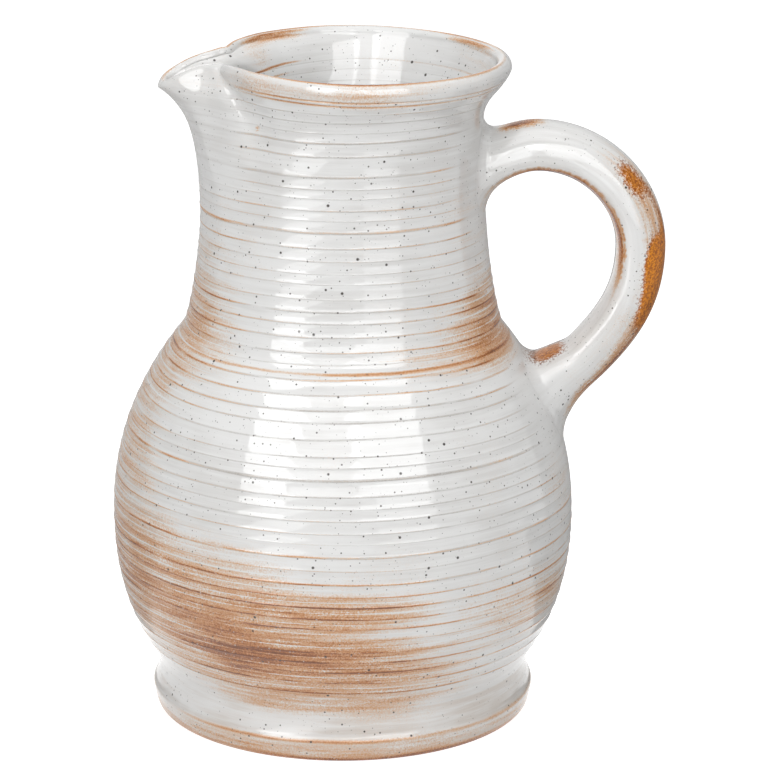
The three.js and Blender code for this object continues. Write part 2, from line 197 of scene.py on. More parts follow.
def resampled(line: Array, step: float) -> Array:
    """Places points evenly along a line.

    Args:
        line: the line's points, one in each row.
        step: the spacing wanted.

    Returns:
        The new points, with the same two ends.
    """
    run = np.concatenate(([0.0], np.cumsum(np.linalg.norm(np.diff(line, axis=0), axis=1))))
    marks = np.linspace(0, run[-1], max(2, round(run[-1] / step) + 1))
    return np.column_stack([np.interp(marks, run, line[:, k]) for k in range(line.shape[1])])


def softened(corners: Sequence[Sequence[float]], reach: float, steps: int = 6, most: float = 0.45) -> Array:
    """Rounds the inner corners of a line.

    Args:
        corners: the line's points.
        reach: how far from a corner its rounding starts.
        steps: how many points each rounding has.
        most: the share of a side that a rounding may take.

    Returns:
        The line with its corners rounded.
    """
    points = [np.array(p, float) for p in corners]
    line = [points[0]]
    share = np.linspace(0, 1, steps)[:, None]
    for before, corner, after in zip(points, points[1:], points[2:]):
        into, out_of = before - corner, after - corner
        start, end = (corner + way * min(most, reach / np.linalg.norm(way)) for way in (into, out_of))
        line.extend((1 - share) ** 2 * start + 2 * share * (1 - share) * corner + share ** 2 * end)
    line.append(points[-1])
    return np.array(line)


def turned(profile: Array, columns: int) -> Array:
    """Turns a profile about the throwing axis.

    Args:
        profile: radius and height in each row.
        columns: how many points each ring has.

    Returns:
        Rings of places in millimetres.
    """
    angle = np.linspace(0, 2 * math.pi, columns, endpoint=False)
    radius, height = profile[:, :1], np.repeat(profile[:, 1:], columns, axis=1)
    return np.stack([radius * np.cos(angle), radius * np.sin(angle), height], axis=-1)


def compass(rings: Array) -> Array:
    """Angle of each point about the throwing axis, in degrees from the handle."""
    return np.degrees(np.arctan2(rings[..., 1], rings[..., 0])) % 360


def listed(values: Array, ends: Ends) -> Array:
    """Lists the values of rings' points, and past them the means of the end rings where these are capped.

    Args:
        values: a number or a place, by ring and by point round the ring.
        ends: how the skin closes.

    Returns:
        One value in each row.
    """
    flat = values.reshape(-1, *values.shape[2:])
    return flat if ends is Ends.WRAPPED else np.concatenate([flat, values[[0, -1]].mean(axis=1)])


def skin(name: str, rings: Array, ends: Ends, paints: dict[Paint, Array],
         flow: Array | None = None) -> Piece:
    """Joins rings of points into a closed, smooth mesh with faces that point outwards.

    Args:
        name: the piece's name.
        rings: places in millimetres, by ring and by point round the ring.
        ends: whether the last ring joins the first, or both ends are capped.
        paints: a value for each point of each ring.
        flow: places whose height runs across the way the clay was drawn, where they aren't the rings' own.

    Returns:
        The new object, at the origin.
    """
    rows, columns, _ = rings.shape
    capped = ends is Ends.CAPPED
    places = listed(rings, ends) * MM
    row = np.arange(rows - 1 if capped else rows)[:, None] * columns
    after = (row + columns) % (rows * columns)
    turn = np.arange(columns)[None, :]
    onward = (turn + 1) % columns
    quads = np.stack([row + turn, row + onward, after + onward, after + turn], axis=-1).reshape(-1, 4)
    first_cap, last_cap, last = rows * columns, rows * columns + 1, (rows - 1) * columns
    fans: list[tuple[int, int, int]] = []
    for j in range(columns if capped else 0):
        step = (j + 1) % columns
        fans.append((first_cap, step, j))
        fans.append((last_cap, last + j, last + step))
    a, b, c, d = (places[quads[:, k]] for k in range(4))
    volume = np.einsum("ij,ij->", a, np.cross(b, c)) + np.einsum("ij,ij->", a, np.cross(c, d))
    faces = [tuple(face) for face in quads.tolist()] + fans
    if volume < 0:
        faces = [face[::-1] for face in faces]
    mesh = bpy.data.meshes.new(name)
    mesh.from_pydata(places.tolist(), [], faces)
    mesh.shade_smooth()
    mesh.set_sharp_from_angle(angle=math.radians(SHARP_ANGLE))
    for paint in Paint:
        values = listed(paints.get(paint, np.zeros((rows, columns))), ends).astype(np.float32)
        mesh.attributes.new(paint.value, "FLOAT", "POINT").data.foreach_set("value", values)
    drawn = (listed(rings if flow is None else flow, ends) * MM).astype(np.float32)
    mesh.attributes.new(FLOW, "FLOAT_VECTOR", "POINT").data.foreach_set("vector", drawn.ravel())
    made = bpy.data.objects.new(name, mesh)
    bpy.context.scene.collection.objects.link(made)
    return made


def settle(made: Piece, node: str) -> Piece:
    """Puts a finished piece on the body, in the place of its CAD node.

    Args:
        made: the finished piece.
        node: the CAD node that it stands for.

    Returns:
        The same piece.
    """
    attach(made, BODY)
    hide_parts(node)
    return made


def drawn_out(height: Array) -> Array:
    """How far the turning wheel drew a stain's end at each height, from about -1 to 1."""
    # Each wave's length in millimetres, its start and its share
    waves = ((9.7, 0.0, 0.3), (4.3, 1.7, 0.3), (2.3, 0.6, 0.35), (1.4, 2.9, 0.2))
    return sum(share * np.sin(2 * math.pi * height / length + start) for length, start, share in waves)


@dataclass(frozen=True)
class Stain:
    """A patch where the glaze is thin and the iron in the clay shows through.

    Angles are in degrees, with 0 at the handle and 270 at the camera. On the handle they run round its
    section, and heights along it. The rag is how far, in degrees, its ends are drawn out, and the steepness
    how abruptly it ends.
    """

    angle: float
    angle_spread: float
    height: float
    height_spread: float
    strength: float
    rag: float = 5.0
    steepness: float = 2.5

    def weight(self, angle: Array, height: Array) -> Array:
        """How strongly each point is stained.

        Args:
            angle: the points' angles, in degrees.
            height: the points' heights, or lengths along the handle.

        Returns:
            The stain's strength at each point.
        """
        turn = (angle - self.angle + self.rag * drawn_out(height) + 180) % 360 - 180
        aside = np.abs(turn / self.angle_spread) ** self.steepness
        above = np.abs((height - self.height) / self.height_spread) ** self.steepness
        return self.strength * np.exp(-(aside + above))


def stained(stains: Sequence[Stain], angle: Array, height: Array, most: float = 1.2) -> Array:
    """Adds up stains over a mesh's points.

    Args:
        stains: the patches.
        angle: the points' angles, in degrees.
        height: the points' heights.
        most: the greatest total.

    Returns:
        The total strength at each point.
    """
    return np.minimum(sum(stain.weight(angle, height) for stain in stains), most)


@dataclass(frozen=True)
class SmoothedRoot:
    """Where a hand smoothed the wall round a root of the handle and wiped the throwing rings away."""

    height: float
    reach: float
    width: float
    fade: tuple[float, float] = (0.75, 1.2)

    def weight(self, rings: Array) -> Array:
        """How far each point was smoothed: 1 on the root, down to 0 away from it."""
        away = np.sqrt(((rings[..., 2] - self.height) / self.reach) ** 2 + (rings[..., 1] / self.width) ** 2)
        return np.where(rings[..., 0] > 0, 1 - smoothstep(away, *self.fade), 0.0)


@dataclass(frozen=True)
class ThrowingRings:
    """The ridges that the fingers leave while a pot is thrown: level, unevenly spaced, with sharp crests."""

    pitch: float = 4.4
    depth: float = 0.22
    sharpness: float = 2.6
    weakest: float = 0.82
    wander: float = 1.1
    wander_length: float = 15.0
    wobble: float = 0.4
    wobble_length: float = 60.0
    unevenness: float = 0.35
    unevenness_length: float = 55.0
    seed: int = 4

    def crest(self, tree: Tree, place: Socket, pitch: Socket | float) -> Socket:
        """Adds the nodes that rise from 0 in a hollow to 1 on a ridge, alike for the mesh and its glaze.

        Args:
            tree: the shader or geometry tree.
            place: the point on the wall, in metres.
            pitch: the rings' spacing, in metres.

        Returns:
            The rise.
        """
        height = add(tree, "ShaderNodeSeparateXYZ", {0: place}, "Z")
        count = add(tree, MATH, (height, pitch), operation="DIVIDE")
        wander = add(tree, NOISE,
                     {"W": height, "Scale": per_metre(self.wander_length), "Detail": 1.0},
                     noise_dimensions="1D")
        wobble = add(tree, NOISE, {"Vector": place, "Scale": per_metre(self.wobble_length), "Detail": 0.0})
        for noise, share in ((wander, self.wander), (wobble, self.wobble)):
            count = add(tree, MATH, (noise, share, count), operation="MULTIPLY_ADD")
        part = add(tree, MATH, {0: count}, operation="FRACT")
        middle = add(tree, MATH, (part, 2.0, -1.0), operation="MULTIPLY_ADD")
        crest = add(tree, MATH, {0: middle}, operation="ABSOLUTE")
        ring = add(tree, MATH, {0: count}, operation="ROUND")
        chance = add(tree, "ShaderNodeTexWhiteNoise", {"W": ring}, noise_dimensions="1D")
        share = add(tree, MAP_RANGE, {"Value": chance, "To Min": self.weakest, "To Max": 1.0})
        return add(tree, MATH, (crest, share), operation="MULTIPLY")

    @cached_property
    def tree(self) -> Tree:
        """The geometry tree that raises the rings on a wall and gives it its glaze."""
        tree = bpy.data.node_groups.new("throwing_rings", "GeometryNodeTree")
        for name, kind in (("Wall", "Geometry"), ("Ring pitch", "Float"), ("Ring depth", "Float"),
                           ("Unevenness", "Float"), ("Seed", "Int"), ("Glaze", "Material")):
            tree.interface.new_socket(name, in_out="INPUT", socket_type="NodeSocket" + kind)
        tree.interface.new_socket("Thrown wall", in_out="OUTPUT", socket_type="NodeSocketGeometry")
        wall = add(tree, "NodeGroupInput", out="Wall")
        given = wall.node.outputs
        place = add(tree, "GeometryNodeInputPosition")
        crest = self.crest(tree, place, given["Ring pitch"])
        ridge = add(tree, MATH, (crest, self.sharpness), operation="POWER")
        slow = add(tree, NOISE,
                   {"Vector": place, "W": given["Seed"], "Scale": per_metre(self.unevenness_length),
                    "Detail": 1.0}, noise_dimensions="4D")
        sway = add(tree, MATH, (slow, 0.5), operation="SUBTRACT")
        sway = add(tree, MATH, (sway, given["Unevenness"]), operation="MULTIPLY")
        rise = add(tree, MATH, (ridge, given["Ring depth"], sway), operation="MULTIPLY_ADD")
        thrown = add(tree, "GeometryNodeInputNamedAttribute", {"Name": Paint.THROWN.value},
                     data_type="FLOAT")
        rise = add(tree, MATH, (rise, thrown), operation="MULTIPLY")
        level = add(tree, VECTOR_MATH, (place, (1.0, 1.0, 0.0)), operation="MULTIPLY")
        outward = add(tree, VECTOR_MATH, {0: level}, operation="NORMALIZE")
        shift = add(tree, VECTOR_MATH, {0: outward, "Scale": rise}, operation="SCALE")
        moved = add(tree, "GeometryNodeSetPosition", {"Geometry": wall, "Offset": shift})
        whole = add(tree, "GeometryNodeRealizeInstances", {0: moved})
        glazed = add(tree, "GeometryNodeSetMaterial", {"Geometry": whole, "Material": given["Glaze"]})
        add(tree, "NodeGroupOutput", {0: glazed})
        return tree

    def raise_on(self, wall: Piece, glaze: Material) -> None:
        """Raises the rings on a wall and leaves a plain mesh with its glaze.

        Args:
            wall: the piece, painted with where it was thrown.
            glaze: its material.
        """
        values = {"Ring pitch": self.pitch * MM, "Ring depth": self.depth * MM,
                  "Unevenness": self.unevenness * MM, "Seed": self.seed, "Glaze": glaze}
        modifier = wall.modifiers.new("throwing_rings", "NODES")
        modifier.node_group = self.tree
        for socket in self.tree.interface.items_tree:
            if socket.in_out == "INPUT" and socket.name in values:
                modifier[socket.identifier] = values[socket.name]
        graph = bpy.context.evaluated_depsgraph_get()
        mesh = bpy.data.meshes.new_from_object(wall.evaluated_get(graph), preserve_all_data_layers=True,
                                               depsgraph=graph)
        wall.modifiers.clear()
        wall.data = mesh


@dataclass(frozen=True)
class Span:
    """A stretch of one value, and the stretch that it is turned to."""

    low: float
    high: float
    start: float = 0.0
    end: float = 1.0

    def of(self, value: Socket) -> dict[str, Socket | float]:
        """The inputs of a Map Range node that turns a value so."""
        return {"Value": value, "From Min": self.low, "From Max": self.high, "To Min": self.start,
                "To Max": self.end}


@dataclass(frozen=True)
class RingLines:
    """Thin, broken lines on the rings: how near a crest they lie, and where noise lets them through."""

    crest: Span
    breaks: Span


@dataclass(frozen=True)
class Speckle:
    """Grains spread through the glaze, which show as dots where its surface cuts them."""

    spacing: float
    radius: float
    strength: float
    colour: str = "#2B211B"
    smallest: float = 0.35
    soft_edge: float = 0.55


@dataclass(frozen=True)
class GlazeNoise:
    """The patterns that break a glaze up: grain, crumbs, the rings' rise and two widths of streaks."""

    grain: Socket
    crumbs: Socket
    crest: Socket
    fine: Socket
    broad: Socket


@dataclass(frozen=True)
class StonewareGlaze:
    """Glossy tin-white glaze over iron-bearing stoneware, dipped and fired.

    The eye sees a glassy, slightly uneven off-white that turns to tan and rust where it runs thin over
    ridges and edges, with dark iron specks burnt through it. A kind of streak is a share of the usual size
    and a seed.
    """

    name: str
    rings: ThrowingRings
    # Colours
    white: str = "#E7E7E6"
    shade: str = "#D9D8D6"
    # Painted shade: the grey that lines along the ring ridges are mixed towards, in place of the shade of
    # the rings' relief
    painted_ridge_shade: str = "#857B70"
    thinning: tuple[tuple[float, str], ...] = (
        (0.0, "#E7E7E6"), (0.12, "#DAC7B6"), (0.3, "#D2A680"), (0.5, "#C28653"), (0.7, "#A96835"),
        (0.86, "#91501E"), (1.0, "#743C0C"),
    )
    gold: str = "#CE7E08"
    dark_gold: str = "#864400"
    # Gloss
    roughness: float = 0.045
    worn_roughness: float = 0.22
    worn_out: float = 0.8
    gold_roughness: float = 0.3
    gold_lustre: float = 0.55
    ior: float = 1.6
    # Sizes of its patterns
    cloud_size: float = 38.0
    haze_size: float = 24.0
    streak_length: float = 46.0
    streak_height: float = 2.5
    fine_streaks: tuple[float, float] = (0.45, 7.0)
    broad_streaks: tuple[float, float] = (1.0, 1.0)
    drift_streaks: tuple[float, float] = (0.8, 3.0)
    grain_size: float = 0.6
    gold_size: float = 0.9
    peel_size: float = 6.0
    # Fine relief
    peel_bump: float = 0.35
    ridge_bump: float = 2.8
    bump_height: float = 0.06
    bump_strength: float = 0.7
    # Dots
    specks: tuple[Speckle, ...] = (
        Speckle(5.0, 0.68, 0.95), Speckle(3.0, 0.46, 0.9), Speckle(1.5, 0.26, 0.7),
    )
    pinholes: Speckle = Speckle(1.5, 0.4, 0.85, "#E6DACF")
    # Lines on the throwing rings: the first kind is painted shade along the ridges, the others are thin
    # glaze where the rust shows
    painted_shade_lines: RingLines = RingLines(Span(0.7, 0.97), Span(0.26, 0.56, 0.1))
    rust_lines: RingLines = RingLines(Span(0.74, 0.96), Span(0.36, 0.64, 0.1))
    double_lines: RingLines = RingLines(Span(0.82, 0.985), Span(0.48, 0.66, 0.1))
    # How far a full line of painted shade darkens the white
    painted_shade_share: float = 0.95
    line_power: float = 0.5
    line_gain: float = 1.4
    line_least: float = 0.1
    double_pitch: float = 0.61
    double_share: float = 0.8
    # Stains and worn edges
    patch_power: float = 1.5
    patch_gain: float = 2.4
    patch_shift: float = -0.5
    patch_limit: float = 1.2
    sand_share: float = 0.62
    edge_sand: float = 0.25
    # Where each pattern starts and where it is full
    crumbs: Span = Span(0.36, 0.62, 0.62)
    sand: Span = Span(0.33, 0.67, -1.0)
    drawn: Span = Span(0.3, 0.7, -0.85, 0.85)
    calm: Span = Span(0.05, 0.35, 0.35)
    pooled: Span = Span(0.02, 0.12, -0.45, 0.0)
    broken_edge: Span = Span(0.36, 0.6, 0.4)
    haze: Span = Span(0.4, 0.7, 0.0, 0.08)
    drift: Span = Span(0.15, 0.4)
    rust_shows: Span = Span(0.01, 0.2)
    bare: Span = Span(0.35, 0.75)
    gold_shows: Span = Span(0.72, 0.94)
    gold_darkens: Span = Span(0.42, 0.6)

    @cached_property
    def material(self) -> Material:
        """The glaze's shader, built when a piece first asks for it."""
        made = bpy.data.materials.new(self.name)
        tree = cleared(made)
        place = add(tree, "ShaderNodeTexCoord", out="Object")
        flow = add(tree, "ShaderNodeAttribute", out="Vector", attribute_name=FLOW)
        painted = {paint: add(tree, "ShaderNodeAttribute", out="Fac", attribute_name=paint.value)
                   for paint in Paint}
        grain = add(tree, NOISE,
                    {"Vector": place, "Scale": per_metre(self.grain_size), "Detail": 2.0, "Roughness": 0.7})
        crumbs = add(tree, MAP_RANGE, self.crumbs.of(grain))
        crest = self.rings.crest(tree, place, self.rings.pitch * MM)
        fine, broad, drawn = (self.streaks(tree, flow, *kind)
                              for kind in (self.fine_streaks, self.broad_streaks, self.drift_streaks))
        thin = self.thinness(tree, place, painted, GlazeNoise(grain, crumbs, crest, fine, broad))
        # Painted shade: grey lines along the ridges, broken up by the crumbs, darken the body colour where
        # the rings' relief would be shaded; the same ridges also feed the bump
        ridge = self.ring_lines(tree, self.painted_shade_lines, crest, fine, painted[Paint.THROWN])
        grey = add(tree, MATH, (ridge, crumbs), operation="MULTIPLY")
        colour = self.body_colour_and_painted_shade(tree, place, drawn, grey)
        ramp = add(tree, "ShaderNodeValToRGB", {0: thin})
        self.set_ramp(ramp.node.color_ramp)
        shows = add(tree, MAP_RANGE, self.rust_shows.of(thin), interpolation_type=SMOOTH)
        colour = add(tree, MIX, {MIX_SHARE: shows, MIX_FROM: colour, MIX_TO: ramp}, MIX_COLOUR,
                     data_type="RGBA")
        colour, golden = self.with_gold(tree, place, painted[Paint.GOLD], colour)
        bare = add(tree, MAP_RANGE, self.bare.of(thin), interpolation_type=SMOOTH)
        colour = self.with_specks(tree, place, colour, self.pinholes, bare)
        for speckle in self.specks:
            colour = self.with_specks(tree, place, colour, speckle, 1.0)
        worn = Span(0.0, self.worn_out, self.roughness, self.worn_roughness)
        rough = add(tree, MAP_RANGE, worn.of(thin))
        rough = add(tree, MATH, (golden, self.gold_roughness, rough), operation="MULTIPLY_ADD")
        lustre = add(tree, MATH, (golden, self.gold_lustre), operation="MULTIPLY")
        peel = add(tree, NOISE, {"Vector": place, "Scale": per_metre(self.peel_size), "Detail": 0.0})
        height = add(tree, MATH, (grain, thin), operation="MULTIPLY")
        for form, share in ((peel, self.peel_bump), (ridge, self.ridge_bump)):
            height = add(tree, MATH, (form, share, height), operation="MULTIPLY_ADD")
        bump = add(tree, "ShaderNodeBump",
                   {"Height": height, "Strength": self.bump_strength, "Distance": self.bump_height * MM})
        shader = add(tree, "ShaderNodeBsdfPrincipled",
                     {"Base Color": colour, "Metallic": lustre, "Roughness": rough, "Normal": bump,
                      "IOR": self.ior})
        add(tree, "ShaderNodeOutputMaterial", {"Surface": shader})
        return made

    def set_ramp(self, ramp: bpy.types.ColorRamp) -> None:
        """Sets the colours that a thinning glaze runs through, from white to bare iron brown."""
        while len(ramp.elements) < len(self.thinning):
            ramp.elements.new(1.0)
        for element, (place, colour) in zip(ramp.elements, self.thinning):
            element.position = place
            element.color = linear(colour)

    def streaks(self, tree: Tree, flow: Socket, stretch: float, seed: float) -> Socket:
        """Adds noise drawn out round the pot, as a turning wheel draws it, or along the strap.

        Args:
            tree: the shader tree.
            flow: the point's place along and across the way the clay was drawn.
            stretch: the share of the usual length and height.
            seed: which noise it is.

        Returns:
            The noise, from 0 to 1.
        """
        across, upward = (per_metre(size * stretch) for size in (self.streak_length, self.streak_height))
        drawn = add(tree, VECTOR_MATH, (flow, (across, across, upward)), operation="MULTIPLY")
        return add(tree, NOISE,
                   {"Vector": drawn, "W": seed, "Scale": 1.0, "Detail": 3.0, "Roughness": 0.62},
                   noise_dimensions="4D")

    def thinness(self, tree: Tree, place: Socket, painted: dict[Paint, Socket], noise: GlazeNoise) -> Socket:
        """Adds the nodes that say how thin the glaze is: in stains, on ridges and over edges.

        Args:
            tree: the shader tree.
            place: the point on the wall.
            painted: the mesh's paints.
            noise: the patterns that break it up.

        Returns:
            0 where the glaze is thick and white, to 1 where it is almost gone.
        """
        rust = painted[Paint.RUST]
        sand = add(tree, MAP_RANGE, self.sand.of(noise.grain))
        thin = self.patches(tree, rust, noise, sand)
        thin = add(tree, MATH, (thin, self.clouds(tree, place, sand)), operation="ADD")
        marks = self.ring_marks(tree, place, rust, noise)
        thin = add(tree, MATH, (marks, painted[Paint.THROWN], thin), operation="MULTIPLY_ADD")
        broken = add(tree, MAP_RANGE, self.broken_edge.of(noise.broad), interpolation_type=SMOOTH)
        worn = add(tree, MATH, (painted[Paint.EDGE], broken), operation="MULTIPLY")
        rough = add(tree, MATH, (sand, self.edge_sand, 1.0), operation="MULTIPLY_ADD")
        return add(tree, MATH, (worn, rough, thin), operation="MULTIPLY_ADD", use_clamp=True)

    def patches(self, tree: Tree, rust: Socket, noise: GlazeNoise, sand: Socket) -> Socket:
        """Adds the stains, sandy and drawn out, most of all where they are half covered.

        Args:
            tree: the shader tree.
            rust: the painted stains.
            noise: the patterns that break them up.
            sand: fine noise from -1 to 1.

        Returns:
            How thin the glaze is there.
        """
        drawn = add(tree, MAP_RANGE, self.drawn.of(noise.fine))
        uneven = add(tree, MATH, (noise.broad, self.patch_gain, self.patch_shift), operation="MULTIPLY_ADD")
        patch = add(tree, MATH, (rust, self.patch_power), operation="POWER")
        patch = add(tree, MATH, (patch, uneven), operation="MULTIPLY")
        room = add(tree, MATH, (self.patch_limit, patch), operation="SUBTRACT")
        room = add(tree, MATH, (room, patch), operation="MULTIPLY")
        texture = add(tree, MATH, (sand, self.sand_share, drawn), operation="MULTIPLY_ADD")
        calm = add(tree, MAP_RANGE, self.calm.of(patch))
        texture = add(tree, MATH, (texture, calm), operation="MULTIPLY")
        return add(tree, MATH, (room, texture, patch), operation="MULTIPLY_ADD")

    def ring_marks(self, tree: Tree, place: Socket, rust: Socket, noise: GlazeNoise) -> Socket:
        """Adds rust lines on the rings' crests, finer lines between, and the thick glaze in the hollows.

        Args:
            tree: the shader tree.
            place: the point on the wall.
            rust: the painted stains.
            noise: the patterns that break them up.

        Returns:
            How much thinner the lines make the glaze.
        """
        between = self.rings.crest(tree, place, self.rings.pitch * self.double_pitch * MM)
        strength = add(tree, MATH, (rust, self.line_power), operation="POWER")
        strength = add(tree, MATH, (strength, self.line_gain, self.line_least), operation="MULTIPLY_ADD")
        lines = self.ring_lines(tree, self.rust_lines, noise.crest, noise.fine, strength)
        doubles = self.ring_lines(tree, self.double_lines, between, noise.broad, rust)
        pooled = add(tree, MAP_RANGE, self.pooled.of(noise.crest), interpolation_type=SMOOTH)
        pooled = add(tree, MATH, (pooled, rust), operation="MULTIPLY")
        marks = add(tree, MATH, (doubles, self.double_share, lines), operation="MULTIPLY_ADD")
        marks = add(tree, MATH, (marks, noise.crumbs), operation="MULTIPLY")
        return add(tree, MATH, (marks, pooled), operation="ADD")

    def ring_lines(self, tree: Tree, kind: RingLines, crest: Socket, breaks: Socket,
                   strength: Socket) -> Socket:
        """Adds thin, broken lines along the rings' crests.

        Args:
            tree: the shader tree.
            kind: where the lines lie and break.
            crest: the rings' rise.
            breaks: noise that breaks the lines.
            strength: how strong a full line is.

        Returns:
            The lines' strength.
        """
        ridge = add(tree, MAP_RANGE, kind.crest.of(crest), interpolation_type=SMOOTH)
        gate = add(tree, MAP_RANGE, kind.breaks.of(breaks), interpolation_type=SMOOTH)
        line = add(tree, MATH, (ridge, gate), operation="MULTIPLY")
        return add(tree, MATH, (line, strength), operation="MULTIPLY")

    def clouds(self, tree: Tree, place: Socket, sand: Socket) -> Socket:
        """Adds faint sandy clouds, where the iron nearly shows through the thick glaze.

        Args:
            tree: the shader tree.
            place: the point on the surface.
            sand: fine noise from -1 to 1.

        Returns:
            How far it shows.
        """
        cloud = add(tree, NOISE,
                    {"Vector": place, "Scale": per_metre(self.haze_size), "Detail": 2.0, "Roughness": 0.55})
        cloud = add(tree, MAP_RANGE, self.haze.of(cloud), interpolation_type=SMOOTH)
        share = add(tree, MATH, (sand, 0.5, 0.5), operation="MULTIPLY_ADD")
        return add(tree, MATH, (cloud, share), operation="MULTIPLY")

    def body_colour_and_painted_shade(self, tree: Tree, place: Socket, drawn: Socket, ridge: Socket) -> Socket:
        """Adds the thick glaze's own colour, which drifts as its thickness does, with painted shade in grey
        lines on the ridges.

        Args:
            tree: the shader tree.
            place: the point on the wall.
            drawn: noise drawn out along the wall.
            ridge: how far the point lies on a ridge, which sets how much painted shade it gets.

        Returns:
            The colour.
        """
        cloud = add(tree, NOISE, {"Vector": place, "Scale": per_metre(self.cloud_size), "Detail": 3.0})
        drift = add(tree, MATH, (cloud, drawn), operation="MULTIPLY")
        drift = add(tree, MAP_RANGE, self.drift.of(drift), interpolation_type=SMOOTH)
        # Painted shade along the ridges, mixed over the drifting white
        grey = add(tree, MATH, (ridge, self.painted_shade_share), operation="MULTIPLY")
        colour = linear(self.white)
        for share, tone in ((drift, self.shade), (grey, self.painted_ridge_shade)):
            colour = add(tree, MIX, {MIX_SHARE: share, MIX_FROM: colour, MIX_TO: linear(tone)},
                         MIX_COLOUR, data_type="RGBA")
        return colour

    def with_gold(self, tree: Tree, place: Socket, weight: Socket, colour: Socket) -> tuple[Socket, Socket]:
        """Adds golden-brown crystals where the glaze broke into grains.

        Args:
            tree: the shader tree.
            place: the point on the surface.
            weight: how much of the glaze broke.
            colour: the glaze so far.

        Returns:
            The colour with the crystals, and how far they cover the glaze.
        """
        grains = add(tree, NOISE,
                     {"Vector": place, "Scale": per_metre(self.gold_size), "Detail": 3.0, "Roughness": 0.75})
        level = add(tree, MATH, (weight, grains), operation="ADD")
        shows = add(tree, MAP_RANGE, self.gold_shows.of(level), interpolation_type=SMOOTH)
        dark = add(tree, MAP_RANGE, self.gold_darkens.of(grains))
        tone = linear(self.gold)
        tone = add(tree, MIX, {MIX_SHARE: dark, MIX_FROM: tone, MIX_TO: linear(self.dark_gold)},
                   MIX_COLOUR, data_type="RGBA")
        colour = add(tree, MIX, {MIX_SHARE: shows, MIX_FROM: colour, MIX_TO: tone}, MIX_COLOUR,
                     data_type="RGBA")
        return colour, shows

    def with_specks(self, tree: Tree, place: Socket, colour: Socket, speckle: Speckle,
                    share: Socket | float) -> Socket:
        """Adds dots, whose sizes come from where the surface cuts through small balls.

        Args:
            tree: the shader tree.
            place: the point on the surface.
            colour: the glaze so far.
            speckle: the dots' spacing, size, strength and colour.
            share: how much of their strength they have.

        Returns:
            The colour with the dots.
        """
        widest = speckle.radius / speckle.spacing
        sizes = Span(0.0, 1.0, speckle.smallest * widest, widest)
        cover = Span(1.0, speckle.soft_edge, 0.0, speckle.strength)
        reach = add(tree, "ShaderNodeTexVoronoi", {"Vector": place, "Scale": per_metre(speckle.spacing)},
                    "Distance")
        chance = add(tree, "ShaderNodeSeparateColor", {0: reach.node.outputs["Color"]})
        ball = add(tree, MAP_RANGE, sizes.of(chance))
        depth = add(tree, MATH, (reach, ball), operation="DIVIDE")
        dot = add(tree, MAP_RANGE, cover.of(depth), interpolation_type=SMOOTH)
        dot = add(tree, MATH, (dot, share), operation="MULTIPLY")
        return add(tree, MIX, {MIX_SHARE: dot, MIX_FROM: colour, MIX_TO: linear(speckle.colour)},
                   MIX_COLOUR, data_type="RGBA")


@dataclass(frozen=True)
class FiredSlip:
    """Fired clay slip, wiped on wet: a matt, sandy buff with fine grit."""

    name: str
    colour: str = "#B98F72"
    dark: str = "#A1765B"
    grit_size: float = 0.7
    grit_height: float = 0.1
    grit_bump: float = 0.4
    roughness: float = 0.82

    @cached_property
    def material(self) -> Material:
        """The slip's shader, built when a piece first asks for it."""
        made = bpy.data.materials.new(self.name)
        tree = cleared(made)
        place = add(tree, "ShaderNodeTexCoord", out="Object")
        grit = add(tree, NOISE,
                   {"Vector": place, "Scale": per_metre(self.grit_size), "Detail": 4.0, "Roughness": 0.7})
        tones = {MIX_SHARE: grit, MIX_FROM: linear(self.colour), MIX_TO: linear(self.dark)}
        colour = add(tree, MIX, tones, MIX_COLOUR, data_type="RGBA")
        bump = add(tree, "ShaderNodeBump",
                   {"Height": grit, "Strength": self.grit_bump, "Distance": self.grit_height * MM})
        shader = add(tree, "ShaderNodeBsdfPrincipled",
                     {"Base Color": colour, "Roughness": self.roughness, "Normal": bump})
        add(tree, "ShaderNodeOutputMaterial", {"Surface": shader})
        return made


